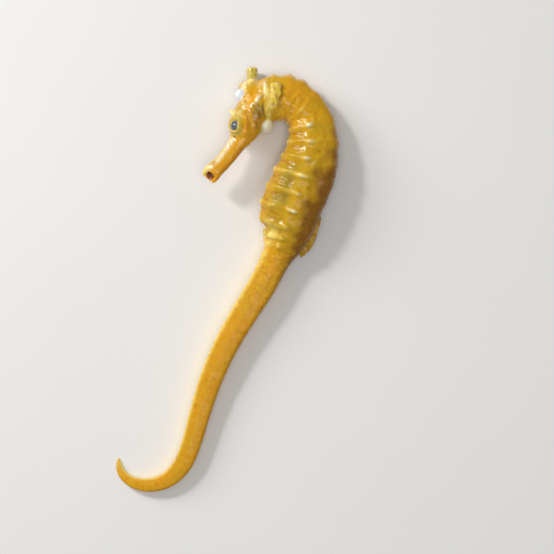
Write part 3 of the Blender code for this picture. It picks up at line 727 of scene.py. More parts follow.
def shape_head(skin):
    """Ridges, knobs, spines and nostrils of the head."""
    on_head = skin.s < 0.0
    outside = ~skin.first_rows(MOUTH_LOOPS)
    rise = np.zeros_like(skin.s)
    rise += 0.15 * skin.head_line(*CREST, 1.1) * (1.0 + mottle(skin.points, 2.5, 19))
    rise += 0.30 * skin.head_line(*BROW_RIDGE, 0.80)
    rise += 0.35 * skin.head_line(*SNOUT_RIDGE, 0.90) * (1.0 + mottle(skin.points, 1.8, 20))
    rise += 0.30 * skin.head_line(*CROWN_RIDGE, 1.2)
    rise += 0.35 * skin.head_line(*GILL_HIGHLIGHT_RIDGE, 0.9) * (1.0 + 0.6 * mottle(skin.points, 1.4, 23))
    for place, tall, wide in HEAD_BUMPS:
        rise += tall * np.exp(-(skin.from_head(place) / wide) ** 2)
    keel = np.exp(-(np.minimum(skin.angle, 40.0) / 9.0) ** 2) * between(skin.h, 30.0, 43.0, 2.0)
    rise += 0.45 * keel * on_head
    rise += 0.12 * mottle(skin.points, 1.7, 8) * ramp(skin.h, 18.0, 26.0)
    rise += 0.09 * crumpled(skin.points, 3.6, 21) * ramp(skin.h, 26.0, 30.0)
    pit = np.exp(-(skin.from_head(NOSTRIL) / 0.5) ** 2)
    rise -= 0.4 * pit
    skin.raise_by(rise * on_head * outside)
    shape_beads(skin)
    skin.marks["pit"] = pit * on_head
    skin.marks["crest"] = skin.head_line(*CREST, 1.3)
    # painted highlight along the crown ridge
    skin.marks["gloss"] = skin.head_line(*CROWN_RIDGE, 1.4)
    shape_brow(skin)
    shape_eyes(skin)


def shape_beads(skin):
    """Two glossy white knobs on the forehead, their white spread a little past them as a painted
    highlight.
    """
    white = np.zeros_like(skin.s)
    for side in (1.0, -1.0):
        centre = head_spots(BEAD_PLACE[0], BEAD_PLACE[1], BEAD_PLACE[2] * side)
        inner = head_spots(BEAD_ROOT[0], BEAD_ROOT[1], BEAD_ROOT[2] * side)
        points, _ = swell(skin.points, inner, centre, np.eye(3), np.full(3, BEAD_RADIUS), 0.06)
        near = (skin.out * side > -0.5) & (skin.s < 0.0) & (skin.h > 30.0)
        skin.points = np.where(near[..., None], points, skin.points)
        # the white reaches past each knob as a painted highlight
        far = np.linalg.norm(skin.points - centre, axis=-1) + 0.5 * mottle(skin.points, 1.5, 22)
        white = np.maximum(white, np.where(near, ramp(far, BEAD_RADIUS + 0.7, BEAD_RADIUS), 0.0))
    skin.marks["bead"] = white


def shape_brow(skin):
    """Blunt spine over each eye."""
    spine = np.zeros_like(skin.s)
    for side in (1.0, -1.0):
        base = np.array(BROW_SPINE_BASE)
        tip = np.array(BROW_SPINE_TIP)
        places = np.stack((skin.h, skin.up, skin.out * side), -1)
        reach = np.linalg.norm(places - base, axis=-1) / BROW_SPINE_RADIUS
        taper = np.clip(1.0 - reach, 0.0, 1.0) ** 1.5 * (skin.s < 0.0)
        start = head_spots(base[0], base[1], base[2] * side)
        end = head_spots(tip[0], tip[1], tip[2] * side)
        skin.points = skin.points + (end - start) * (taper * 1.15)[..., None]
        spine = np.maximum(spine, taper)
    skin.marks["spine"] = np.clip(spine * 2.0, 0.0, 1.0)


def gaze(side):
    """Unit direction in which an eye looks."""
    tilt = math.radians(EYE_TILT)
    straight = np.array((*(np.array(HEAD_UP)[:2] * math.sin(tilt)), math.cos(tilt) * side))
    return head_turn(1.0) @ straight


def lid_share(direction, side):
    """Angle of directions round an eye, as a share of the opening of its lids."""
    look = gaze(side)
    turn = np.degrees(np.arccos(np.clip(direction @ look, -1.0, 1.0)))
    lean = HEAD.turn.at(EYE_PLACE[0]) + LID_LEAN
    straight = np.array((math.cos(math.radians(lean)), math.sin(math.radians(lean)), 0.0))
    tall = head_turn(1.0) @ straight
    flat = direction - (direction @ look)[..., None] * look
    along = (flat @ tall) / np.maximum(np.linalg.norm(flat, axis=-1), 1e-6)
    return turn, turn / (LID_OPENING[0] + LID_OPENING[1] * along ** 2)


def shape_eyes(skin):
    """Swell the orbit round each eyeball, and open it with a thin lid."""
    rim = np.zeros_like(skin.s)
    for side in (1.0, -1.0):
        look = gaze(side)
        orbit = head_spots(ORBIT_PLACE[0], ORBIT_PLACE[1], ORBIT_PLACE[2] * side)
        points, _ = swell(skin.points, orbit - look * 2.2, orbit, np.eye(3),
                          np.full(3, ORBIT_RADIUS), 0.50)
        centre = head_spots(EYE_PLACE[0], EYE_PLACE[1], EYE_PLACE[2] * side)
        from_eye = points - centre
        far = np.linalg.norm(from_eye, axis=-1)
        same_side = (skin.out * side > 0.0) & (skin.s < -0.5) & (far < 6.0)
        direction = from_eye / np.maximum(far, 1e-6)[..., None]
        turn, share = lid_share(direction, side)
        covered = np.maximum(far, EYE_RADIUS + 0.10) + 0.12 * hill(share, 1.15, 0.10)
        opened = ramp(share, 1.07, 0.93) * ramp(far, 4.3, 3.3)
        wanted = covered + (EYE_BED - covered) * opened
        near = same_side & (far < 4.4) & (turn < 120.0)
        far = np.where(near, wanted, far)
        skin.points = np.where(same_side[..., None], centre + direction * far[..., None],
                               skin.points)
        rim = np.maximum(rim, np.where(near, hill(share, 1.30, 0.50), 0.0))
    skin.marks["rim"] = rim


class Zones:
    """Where the parts of the animal lie on its skin, as shares from 0 to 1."""

    def __init__(self, skin):
        s, vent = skin.s, BODY.station["vent"]
        self.s = s
        self.angle = skin.angle * np.ones_like(s)
        self.head = (s < 0.0) * 1.0
        self.snout = self.head * between(skin.h, 3.0, 20.0, 3.0)
        self.trunk = ramp(s, 2.5, 10.0) * ramp(s, vent + 10.0, vent - 4.0)
        self.past_neck = ramp(s, 14.0, 24.0)
        self.belly = between(s, 40.0, 64.0, 5.0)
        self.tail = ramp(s, vent - 6.0, vent + 6.0)
        self.blotch = mottle(skin.points, 6.0, 1)
        self.gill_shade = self.head * np.exp(-(np.hypot(skin.h - 32.8, skin.up + 3.4) / 3.4) ** 4)
        ragged = np.clip(0.6 + 1.2 * mottle(skin.points, 3.5, 28), 0.0, 1.2)
        self.trough = skin.marks["trough"] * ragged * self.trunk * self.past_neck


def olive_mark(skin, zone):
    """Clear panels of the belly and shade of the gill cover."""
    plate = 1.0 - skin.marks["edge"]
    panels = zone.belly * between(zone.angle, 112.0, 144.0, 16.0) * (0.55 + 0.8 * zone.blotch)
    olive = panels * (0.4 + 0.6 * plate)
    olive += zone.trunk * ramp(zone.angle, 84.0, 104.0) * (0.22 + 0.15 * plate)
    return olive + zone.gill_shade * 0.75


def brown_mark(skin, zone):
    """Darker back of trunk and tail, partly its own colour and partly painted shade on the side away
    from the light; brown on the belly side, in the troughs between the rings and under the snout;
    painted shade of the gill cover; and brown on the head behind the eyes.
    """
    s, angle, vent = zone.s, zone.angle, BODY.station["vent"]
    # The back is partly its own colour and partly painted shade on the side away from the light.
    back = ramp(s, vent + 24.0, vent - 16.0) * ramp(angle, 98.0, 42.0) * ramp(s, 18.0, 50.0)
    brown = back * (1.05 + 0.7 * zone.blotch)
    brown += zone.trunk * ramp(angle, 52.0, 25.0) * ramp(s, 8.0, 22.0) * 0.4
    brown += zone.trunk * ramp(angle, 92.0, 112.0) * zone.past_neck * 0.34
    # The back of the tail is darker, partly its own colour and partly painted shade.
    brown += zone.tail * ramp(angle, 70.0, 20.0) * 0.55
    brown += zone.trough * (0.30 + 0.20 * ramp(angle, 110.0, 60.0))
    brown += zone.snout * ramp(angle, 110.0, 165.0) * 0.5
    brown += zone.gill_shade * 0.55
    return brown + 0.3 * zone.head * between(skin.h, 25.0, 36.0, 3.0) * ramp(skin.up, 0.0, 3.0)


def orange_mark(skin, zone):
    """Warm tail, neck, cheek and lips."""
    angle, marks = zone.angle, skin.marks
    orange = zone.tail * (0.7 + 0.4 * zone.blotch)
    orange += zone.trunk * between(angle, 150.0, 162.0, 10.0) * zone.belly * 0.2
    orange += zone.trunk * ramp(zone.s, 34.0, 12.0) * 0.6
    orange += zone.head * (0.45 + 0.4 * zone.blotch - 0.4 * ramp(skin.up, 1.5, 4.0))
    orange += zone.head * marks["gill"] * ramp(skin.up, -2.0, 0.5) * 0.7 + marks["crest"] * 0.5
    orange += zone.trough * ramp(angle, 90.0, 130.0) * 0.8
    orange += zone.snout * ramp(angle, 70.0, 120.0) * 0.6
    return orange + skin.first_rows(MOUTH_LOOPS) * 0.8


def pale_mark(skin, zone):
    """Bone ring, knobs, keel and ridges, with painted highlights on the collar's streak, the crown
    ridge, the snout and the underside of the tail.
    """
    s, angle, marks = zone.s, zone.angle, skin.marks
    pale = marks["collar"] + marks["streak"] * 0.5 + marks["lump"] + marks["crease"] * 0.5
    pale += marks["knob"] * 0.6 * zone.trunk + marks["spine"] * 0.6
    # painted highlight along the crown ridge
    pale += marks["gloss"] * (1.1 + 0.9 * mottle(skin.points, 2.0, 24))
    pale += zone.trunk * ramp(angle, 168.0, 178.0) * 0.8
    pale += zone.trunk * marks["edge"] * ramp(angle, 30.0, 90.0) * (0.28 + 0.5 * zone.blotch)
    pale += 0.6 * between(s, 65.0, 71.0, 2.5) * between(angle, 112.0, 150.0, 14.0)
    # painted highlight along the underside of the tail
    pale += zone.tail * ramp(angle, 112.0, 146.0) * 0.75
    pale += zone.tail * ramp(s, BODY.length - 14.0, BODY.length) * 0.5
    # painted highlight along the snout, near its back
    pale += zone.head * between(skin.h, 1.0, 21.0, 3.0) * hill(angle, 36.0, 26.0) * 0.6
    return pale + zone.head * ramp(skin.h, 3.4, 0.4) * ramp(skin.up, -1.0, 2.0) * 0.8


def dark_mark(skin):
    """Painted shade inside the mouth, in the nostril pits and in the gill slit, a painted shadow
    below the gill cover, and the dark spots of the flank.
    """
    # painted shade inside the mouth and in the pits and slit
    dark = (skin.first_rows(MOUTH_LOOPS // 2 + 3) * 1.0 + skin.marks["pit"] * 0.9
            + skin.marks["slit"] * 0.15)
    for place, strength, size in ((CHEEK_SHADOW, 0.5, 0.9), (NOSTRIL, 0.95, 0.7)):
        dark = np.maximum(dark, strength * np.exp(-(skin.from_head(place) / size) ** 2))
    for at, turn, size in SPOTS:
        far = skin.distance(skin.nearest(at, turn))
        dark = np.maximum(dark, 0.55 * np.exp(-(far / size) ** 2))
    return dark


def highlight_and_pale_mark(skin, zone, glint):
    """Painted highlights along the snout, crown ridge, gill cover, collar and flank knobs, and the
    pale end of the shoulder ring.
    """
    marks = skin.marks
    glint = glint + 0.5 * marks["gloss"] + 0.85 * marks["streak"]
    ridge = zone.trunk * between(zone.angle, 82.0, 102.0, 8.0) * ramp(zone.s, 64.0, 56.0)
    # painted highlights on the knobs of the lateral ridge
    glint = glint + 1.3 * marks["knob"] ** 2 * ridge
    glint = glint * np.clip(0.7 + 1.5 * mottle(skin.points, 1.6, 26), 0.0, 1.0)
    # painted highlight band along the snout
    band = sum(skin.head_line(start, end, 1.0) for start, end in zip(SNOUT_SHINE, SNOUT_SHINE[1:]))
    band = np.minimum(band, 1.0) * ramp(skin.out, 0.0, 0.8)
    band = band * np.clip(0.38 + 0.9 * mottle(skin.points, 2.6, 29), 0.0, 1.0)
    return np.maximum(np.maximum(glint, band), 0.6 * marks["lump"])


def paint(skin):
    """Set the marks that the skin's finish reads."""
    zone, marks = Zones(skin), skin.marks
    strokes = {name: np.zeros_like(skin.s) for name in ("brown", "pale", "glint")}
    for name, strength, start, end, width in HEAD_STROKES:
        strokes[name] += strength * skin.head_line(start, end, width)
    tail = zone.tail
    matt = (ramp(zone.angle, 104.0, 84.0) * ramp(zone.s, 34.0, 44.0)
            + ramp(zone.angle, 104.0, 118.0) * ramp(zone.s, 18.0, 28.0))
    vent = BODY.station["vent"]
    marks["olive"] = olive_mark(skin, zone)
    marks["brown"] = brown_mark(skin, zone) + strokes["brown"]
    marks["orange"] = orange_mark(skin, zone)
    marks["pale"] = pale_mark(skin, zone) + strokes["pale"]
    marks["dark"] = dark_mark(skin)
    marks["glow"] = highlight_and_pale_mark(skin, zone, strokes["glint"])
    marks["tail"] = tail
    marks["grain"] = tail * (1.0 - 0.6 * ramp(zone.s, vent + 14.0, vent + 40.0))
    marks["wet"] = 0.42 - 0.42 * tail - 0.25 * zone.trunk * matt + 0.55 * ramp(zone.s, 18.0, 6.0)
    marks["white"] = np.maximum(marks["bead"], 0.55 * marks["lump"] * ramp(zone.angle, 150.0, 172.0))


def make_skin_surface():
    """The finished surface and its markings."""
    skin = Skin()
    smooth_tail = 1.0 - 0.8 * ramp(skin.s, BODY.station["vent"] - 6.0, BODY.station["vent"] + 8.0)
    skin.raise_by(0.10 * mottle(skin.points, 5.0, 2) * ramp(skin.h, 3.0, 12.0))
    skin.raise_by(0.10 * mottle(skin.points, 1.5, 3) * ramp(skin.h, 6.0, 12.0) * smooth_tail)
    shape_rings(skin)
    shape_gills(skin)
    shape_collar(skin)
    shape_head(skin)
    paint(skin)
    skin.points = untangle(skin.points, MOUTH_LOOPS + SNOUT_LOOPS)
    skin.points[..., 2] = np.maximum(skin.points[..., 2], 0.0)
    return skin


# ---------------------------------------------------------------- mesh helpers
def deselect_all():
    """Leave nothing selected."""
    if bpy.context.object and bpy.context.object.mode != "OBJECT":
        bpy.ops.object.mode_set(mode="OBJECT")
    bpy.ops.object.select_all(action="DESELECT")


def shaped_tube(name, sides, cuts, grid, marks=None):
    """Cylinder cut across its length, each vertex then moved to its place of the grid."""
    deselect_all()
    bpy.ops.mesh.primitive_cylinder_add(vertices=sides, radius=1.0, depth=1.0,
                                        end_fill_type="TRIFAN")
    piece = bpy.context.object
    piece.name = name
    piece.data.name = name
    bpy.ops.object.mode_set(mode="EDIT")
    for count in cuts:
        select_lengthwise(piece.data)
        bpy.ops.mesh.subdivide(number_cuts=count)
    bpy.ops.object.mode_set(mode="OBJECT")
    mesh = piece.data
    start = np.zeros(len(mesh.vertices) * 3)
    mesh.vertices.foreach_get("co", start)
    start = start.reshape(-1, 3)
    rows = grid.shape[0]
    row = np.rint((start[:, 2] + 0.5) * (rows - 1)).astype(int)
    side = np.rint(np.arctan2(start[:, 1], start[:, 0]) / (2.0 * math.pi) * sides).astype(int)
    side %= sides
    centre = np.hypot(start[:, 0], start[:, 1]) < 0.5
    places = grid[row, side]
    places[centre] = grid[row[centre]].mean(axis=1)
    mesh.vertices.foreach_set("co", (places * MM).ravel())
    for mark, values in (marks or {}).items():
        layer = mesh.attributes.new(mark, "FLOAT", "POINT")
        layer.data.foreach_set("value", values[row, side].astype(np.float32))
    mesh.update()
    bpy.ops.object.shade_smooth()
    return piece


def select_lengthwise(mesh):
    """Select the edges that run along a standing cylinder."""
    shape = bmesh.from_edit_mesh(mesh)
    for part in (*shape.verts, *shape.edges, *shape.faces):
        part.select = False
    for edge in shape.edges:
        run = edge.verts[1].co - edge.verts[0].co
        if abs(run.z) > 1e-5:
            edge.select = True
            edge.verts[0].select = True
            edge.verts[1].select = True
    bmesh.update_edit_mesh(mesh)


def apply_modifiers(piece):
    """Apply every modifier of a piece."""
    deselect_all()
    piece.select_set(True)
    bpy.context.view_layer.objects.active = piece
    for modifier in list(piece.modifiers):
        bpy.ops.object.modifier_apply(modifier=modifier.name)


# ---------------------------------------------------------------- finishes
class Wire:
    """A number that runs between nodes; sums on it add Math nodes."""

    def __init__(self, finish, socket):
        self.finish = finish
        self.socket = socket

    def math(self, operation, *values, clamp=False):
        """A Math node on this value and others."""
        node = self.finish.node("ShaderNodeMath", {"operation": operation, "use_clamp": clamp},
                                dict(enumerate((self, *values))))
        return Wire(self.finish, node.outputs[0])

    def __add__(self, other):
        return self.math("ADD", other)

    __radd__ = __add__

    def __mul__(self, other):
        return self.math("MULTIPLY", other)

    __rmul__ = __mul__

    def __sub__(self, other):
        return self.math("SUBTRACT", other)

    def __rsub__(self, other):
        return (self * -1.0).math("ADD", other)

    def limited(self):
        """The value held between 0 and 1."""
        return self.math("ADD", 0.0, clamp=True)

    def step(self, low, high):
        """Ease from 0 at `low` to 1 at `high`."""
        node = self.finish.node("ShaderNodeMapRange", {"interpolation_type": "SMOOTHSTEP"},
                                {"Value": self, "From Min": low, "From Max": high})
        return Wire(self.finish, node.outputs[0])


class Finish:
    """A node material of one kind of surface."""

    def __init__(self, name, **constants):
        self.material = bpy.data.materials.new(name)
        self.material.use_nodes = True
        self.tree = self.material.node_tree
        self.shader = self.tree.nodes["Principled BSDF"]
        for socket, value in constants.items():
            self.feed(self.shader.inputs[socket.replace("_", " ")], value)
        self.place = self.node("ShaderNodeTexCoord").outputs["Object"]

    def node(self, kind, settings=None, sockets=None):
        """One node with its settings and then its sockets."""
        node = self.tree.nodes.new(kind)
        for setting, value in (settings or {}).items():
            if setting == "stops":
                self.set_stops(node.color_ramp, value)
            else:
                setattr(node, setting, value)
        for socket, value in (sockets or {}).items():
            self.feed(node.inputs[socket], value)
        return node

    @staticmethod
    def set_stops(colour_ramp, stops):
        """Give a colour ramp its stops."""
        while len(colour_ramp.elements) < len(stops):
            colour_ramp.elements.new(0.5)
        for element, (position, colour) in zip(colour_ramp.elements, stops):
            element.position = position
            element.color = (*colour, 1.0)

    def feed(self, socket, value):
        """Link or set a socket."""
        if isinstance(value, Wire):
            self.tree.links.new(value.socket, socket)
        elif isinstance(value, bpy.types.NodeSocket):
            self.tree.links.new(value, socket)
        elif socket.type == "RGBA":
            socket.default_value = (*tuple(value)[:3], 1.0)
        else:
            socket.default_value = value

    def mark(self, name):
        """A marking of the mesh."""
        node = self.node("ShaderNodeAttribute", {"attribute_name": name})
        return Wire(self, node.outputs["Fac"])

    def noise(self, size, detail=3.0, rough=0.55):
        """Soft random values; size in millimetres."""
        node = self.node("ShaderNodeTexNoise", {},
                         {"Vector": self.place, "Scale": 1.0 / (size * MM), "Detail": detail,
                          "Roughness": rough})
        return Wire(self, node.outputs[0])

    def cells(self, size):
        """Distance from random points; size in millimetres."""
        node = self.node("ShaderNodeTexVoronoi", {},
                         {"Vector": self.place, "Scale": 1.0 / (size * MM)})
        return Wire(self, node.outputs["Distance"])

    def mix(self, first, second, share):
        """Mix two colours."""
        node = self.node("ShaderNodeMix", {"data_type": "RGBA", "clamp_factor": True},
                         {0: share, 6: first, 7: second})
        return node.outputs[2]

    def bump(self, height, distance):
        """Feed a bump of that height in millimetres to the shader."""
        node = self.node("ShaderNodeBump", {}, {"Height": height, "Distance": distance * MM,
                                                "Strength": 1.0})
        self.feed(self.shader.inputs["Normal"], node.outputs[0])

    def finish(self, colour, roughness=None):
        """Feed the colour and roughness."""
        self.feed(self.shader.inputs["Base Color"], colour)
        if roughness is not None:
            self.feed(self.shader.inputs["Roughness"], roughness)
        return self.material


def skin_finish(look):
    """Wet golden skin with olive panels, orange bands, pale bone and freckles, with painted
    highlights and painted shade.
    """
    finish = Finish("skin_finish", Coat_Roughness=look.wet_roughness, Coat_IOR=1.4,
                    Specular_IOR_Level=0.2, Subsurface_Weight=0.10, Subsurface_Scale=1.0 * MM)
    finish.feed(finish.shader.inputs["Subsurface Radius"], (1.0, 0.55, 0.15))
    broad = finish.noise(9.0, 2.0)
    middle = finish.noise(2.2, 4.0)
    fine = finish.noise(0.6, 4.0, 0.65)
    tail = finish.mark("tail")
    vary = (broad - 0.5) * 0.9 + (middle - 0.5) * 0.7
    colour = finish.mix(look.gold, look.orange, (finish.mark("orange") + vary).limited())
    colour = finish.mix(colour, look.olive, (finish.mark("olive") + vary * 0.6).step(0.15, 1.0))
    colour = finish.mix(colour, look.brown, (finish.mark("brown") + vary * 0.4).step(0.1, 1.2))
    cloudy = ((fine - 0.5) * 0.9 + (middle - 0.5) * 0.8)
    colour = finish.mix(colour, look.orange, (cloudy * 1.2).step(0.0, 0.6) * 0.5)
    colour = finish.mix(colour, look.straw, (cloudy * -1.1).step(0.02, 0.5) * 0.7)
    colour = finish.mix(colour, look.lime, finish.mark("rim").step(0.1, 1.2) * 0.6)
    colour = finish.mix(colour, look.cream, (finish.mark("pale") + vary * 0.5).step(0.15, 1.2))
    bands = finish.mark("edge") * tail * middle.step(0.35, 0.6)
    colour = finish.mix(colour, look.brown, bands * 0.13)
    grain = (finish.noise(1.2, 2.0, 0.6) - 0.5) * 4.0 * finish.mark("grain")
    colour = finish.mix(colour, look.brown, grain.step(0.1, 0.8) * 0.32)
    colour = finish.mix(colour, look.straw, (grain * -1.0).step(0.1, 0.8) * 0.5)
    freckle = finish.cells(3.4).step(0.30, 0.10) * finish.noise(5.0, 1.0).step(0.50, 0.62)
    colour = finish.mix(colour, look.brown, freckle * tail * 0.25)
    dots = finish.cells(1.1).step(0.34, 0.12) * fine.step(0.45, 0.6)
    colour = finish.mix(colour, look.brown, dots * 0.22)
    colour = finish.mix(colour, look.dark, finish.mark("dark").step(0.1, 1.1))
    colour = finish.mix(colour, look.glow, finish.mark("glow"))
    colour = finish.mix(colour, look.white, finish.mark("white"))
    wet = finish.mark("wet") + (finish.noise(3.5, 3.0).step(0.40, 0.58) - 0.5) * 0.5
    wet = wet + finish.mark("white") + finish.mark("glow") - finish.mark("dark") * 1.5
    finish.feed(finish.shader.inputs["Coat Weight"], wet.limited())
    pores = finish.cells(0.55).step(0.0, 0.35)
    ripple = finish.noise(1.4, 3.0, 0.5)
    wrinkle = finish.noise(3.0, 4.0, 0.6)
    finish.bump(wrinkle * 1.6 + ripple * 0.8 + pores * 0.08 + fine * 0.22, look.relief)
    return finish.finish(colour, (fine * 0.22 + 0.10 + tail * 0.20))


def eye_finish(look):
    """Dark glassy eye with a thin pale ring and skin round it."""
    finish = Finish("eye_finish", Coat_Roughness=0.02, Coat_IOR=1.38, Coat_Weight=1.0)
    turn = finish.mark("turn")
    ripple = (finish.noise(0.5, 3.0) - 0.5) * 0.25
    veins = finish.cells(0.5)
    colour = finish.mix(look.eye_dark, look.eye_blue, (turn + ripple).step(0.15, 0.85))
    colour = finish.mix(colour, look.eye_dark, veins.step(0.5, 0.1) * 0.25)
    colour = finish.mix(colour, look.cream, (turn + ripple * 0.3).step(0.99, 1.06) * 0.8)
    finish.bump(finish.noise(0.4, 2.0), 0.02)
    return finish.finish(colour, turn.step(0.85, 1.2) * 0.3 + 0.06)


def coronet_finish(look):
    """Yellow-green bony crown with a pale rim."""
    finish = Finish("coronet_finish", Coat_Roughness=0.12, Coat_IOR=1.38, Coat_Weight=0.9,
                    Subsurface_Weight=0.1, Subsurface_Scale=1.0 * MM)
    middle = finish.noise(1.2, 4.0)
    fine = finish.noise(0.35, 3.0)
    colour = finish.mix(look.straw, look.olive, (middle * 1.1 - 0.10).limited())
    colour = finish.mix(colour, look.lime, (fine * 1.2 - 0.1).limited() * 0.6)
    colour = finish.mix(colour, look.cream, (finish.mark("rim") + (fine - 0.5)).step(0.3, 0.9))
    finish.bump(middle * 0.6 + fine * 0.4, look.relief)
    return finish.finish(colour, fine * 0.2 + 0.25)


def fin_finish(name, look, base, light):
    """Clear membrane with firmer rays, in two colours."""
    finish = Finish(name, Coat_Roughness=0.08, Coat_IOR=1.35, Coat_Weight=0.9,
                    Specular_IOR_Level=0.4)
    ray = finish.mark("ray")
    root = finish.mark("root")
    fine = finish.noise(1.2, 3.0)
    middle = finish.noise(3.5, 2.0)
    colour = finish.mix(base, look.gold, (middle * 1.6 - 0.4).limited())
    colour = finish.mix(colour, look.orange, (middle * -1.0 + 0.55).step(0.0, 0.3) * 0.6)
    colour = finish.mix(colour, light, (ray * 0.4 + (fine - 0.42) * 1.6).limited())
    clear = (ray * 0.15 + root * 0.3 + fine * 0.2 + 0.75).limited()
    finish.feed(finish.shader.inputs["Alpha"], clear)
    finish.bump(fine * 0.6 + ray * 0.3, look.relief * 0.6)
    return finish.finish(colour, fine * 0.2 + 0.15)


def floor_finish():
    """Pale matt paper sweep."""
    finish = Finish("floor_finish", Specular_IOR_Level=0.2)
    fine = finish.noise(1.5, 3.0)
    broad = finish.noise(90.0, 2.0)
    colour = finish.mix((0.86, 0.85, 0.84), (0.92, 0.91, 0.90), fine * 0.4 + broad * 0.6)
    return finish.finish(colour, fine * 0.1 + 0.75)


# ---------------------------------------------------------------- settings
def colour_property(name, description, default):
    """A colour that a user may change."""
    return bpy.props.FloatVectorProperty(name=name, description=description, default=default,
                                         subtype="COLOR", size=3, min=0.0, max=1.0)


class SeahorseLook(bpy.types.PropertyGroup):
    """Colours and surface sizes of the animal."""

    gold: colour_property("Gold", "Main colour of the skin", (0.64, 0.37, 0.010))
    orange: colour_property("Orange", "Tail and cheek colour", (0.77, 0.345, 0.004))
    olive: colour_property("Olive", "Clear panels of the belly", (0.42, 0.30, 0.030))
    brown: colour_property("Brown", "Back and freckles", (0.26, 0.105, 0.008))
    lime: colour_property("Lime", "Skin round the eyes", (0.55, 0.50, 0.12))
    straw: colour_property("Straw", "Light clouds in the skin", (0.80, 0.54, 0.03))
    cream: colour_property("Cream", "Bone ring, knobs and keel", (0.95, 0.75, 0.17))
    glow: colour_property("Glow", "Shine along the snout and crown", (0.95, 0.84, 0.55))
    white: colour_property("White", "Knobs of the forehead", (0.82, 0.86, 0.90))
    dark: colour_property("Dark", "Mouth and nostrils", (0.19, 0.042, 0.006))
    eye_dark: colour_property("Pupil", "Middle of the eye", (0.040, 0.052, 0.062))
    eye_blue: colour_property("Iris", "Outer part of the eye", (0.115, 0.15, 0.17))
    fin_amber: colour_property("Fin", "Membrane of the fins", (0.50, 0.26, 0.012))
    wet_roughness: bpy.props.FloatProperty(
        name="Wet gloss", description="Roughness of the wet coat", default=0.07,
        min=0.0, max=1.0, subtype="FACTOR")
    relief: bpy.props.FloatProperty(
        name="Fine relief", description="Height of the fine bumps in millimetres",
        default=0.12, min=0.0, max=1.0)


class SeahorseStage(bpy.types.PropertyGroup):
    """Camera and light."""

    camera_height: bpy.props.FloatProperty(
        name="Camera height", description="Height of the camera over the floor",
        default=0.9, min=0.1, subtype="DISTANCE", unit="LENGTH")
    lens: bpy.props.FloatProperty(
        name="Lens", description="Focal length in millimetres", default=144.9, min=10.0)
    light_power: bpy.props.FloatProperty(
        name="Light", description="Power shared by the lamps in watts", default=4.3, min=0.0)
    sky: bpy.props.FloatProperty(
        name="Sky", description="Strength of the even light all round", default=0.32, min=0.0)


# ---------------------------------------------------------------- operators
FLESH_NODES = ("snout", "head", "gill_cover_left", "gill_cover_right", "shoulder_ring", "neck",
               "nape", "chest", "belly", "hip", *(f"tail_{i}" for i in range(1, 9)))


SKIN_MARKS = ("pale", "olive", "brown", "orange", "dark", "tail", "grain", "glow", "white",
              "rim", "edge", "wet")


class SEAHORSE_OT_skin(bpy.types.Operator):
    """Model the one skin of head, trunk and tail"""

    bl_idname = "seahorse.skin"
    bl_label = "Skin"

    def execute(self, context):
        skin = make_skin_surface()
        marks = {name: skin.marks[name] for name in SKIN_MARKS}
        piece = shaped_tube("skin", SIDES, SKIN_CUTS, skin.points, marks)
        piece.data.materials.append(skin_finish(context.scene.seahorse_look))
        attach(piece, "root")
        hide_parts(*FLESH_NODES)
        return {"FINISHED"}


class SEAHORSE_OT_eyes(bpy.types.Operator):
    """Model both eyes"""

    bl_idname = "seahorse.eyes"
    bl_label = "Eyes"

    def execute(self, context):
        material = eye_finish(context.scene.seahorse_look)
        for side, name in ((1.0, "left"), (-1.0, "right")):
            centre = head_spots(EYE_PLACE[0], EYE_PLACE[1], EYE_PLACE[2] * side)
            piece = eyeball("eyeball_" + name, centre, side)
            piece.data.materials.append(material)
            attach(piece, "root")
            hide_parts("eye_" + name)
        return {"FINISHED"}


def eyeball(name, centre, side):
    """Eyeball with a swollen clear front and a faint step at the edge of the lids."""
    sides, rows = 48, 33
    polar = np.linspace(0.02, math.pi - 0.02, rows)
    axis = Vector(gaze(side))
    across = axis.orthogonal().normalized()
    other = axis.cross(across)
    angle = np.arange(sides) / sides * 2.0 * math.pi
    ring = (np.cos(angle)[:, None] * np.array(across) + np.sin(angle)[:, None] * np.array(other))
    direction = (np.sin(polar)[:, None, None] * ring[None]
                 + np.cos(polar)[:, None, None] * np.array(axis))
    turn, share = lid_share(direction, side)
    radius = EYE_RADIUS - 0.06 + 0.13 * hill(turn, 0.0, 38.0) - 0.04 * hill(share, 1.0, 0.08)
    grid = (centre + direction * radius[..., None])[::-1]
    return shaped_tube(name, sides, (rows - 2,), grid, {"turn": share[::-1]})


def coronet_crown():
    """Flared stub with five low points and a hollow top."""
    sides, outside_rows = 60, 29
    foot, tip = np.array(CORONET_FOOT), np.array(CORONET_TIP)
    outer = np.linspace(CORONET_SUNK, 1.0, outside_rows)
    hollow = np.array(CORONET_HOLLOW)
    t = np.concatenate((outer, hollow[:, 0]))[:, None]
    shares = np.concatenate((Curve(*CORONET_OUTSIDE).at(outer), hollow[:, 1]))
    radius = shares[:, None] * CORONET_RADIUS
    angle = np.arange(sides)[None, :] / sides * 2.0 * math.pi
    lobes = 0.5 + 0.5 * np.cos(5.0 * angle + 0.6)
    flare = smooth((t - 0.1) / 0.7)
    reach = radius * (1.0 + flare * (0.08 * lobes - 0.04))
    height = t + 0.04 * smooth((t - 0.7) / 0.3) * lobes * np.minimum(radius / 1.7, 1.0)
    along = foot[0] + (tip - foot)[0] * height
    up = foot[1] + (tip - foot)[1] * height
    axis = (tip - foot) / np.linalg.norm(tip - foot)
    side_up = np.cos(angle) * reach
    points = head_spots(along - axis[1] * side_up, up + axis[0] * side_up, np.sin(angle) * reach)
    rise = 0.10 * mottle(points, 1.4, 7)
    middle = points.mean(axis=1, keepdims=True)
    points = points + (points - middle) * rise[..., None]
    marks = {"rim": smooth((height - 0.84) / 0.2) * np.ones_like(reach)}
    return shaped_tube("coronet_crown", sides, (len(t) - 2,), points, marks)


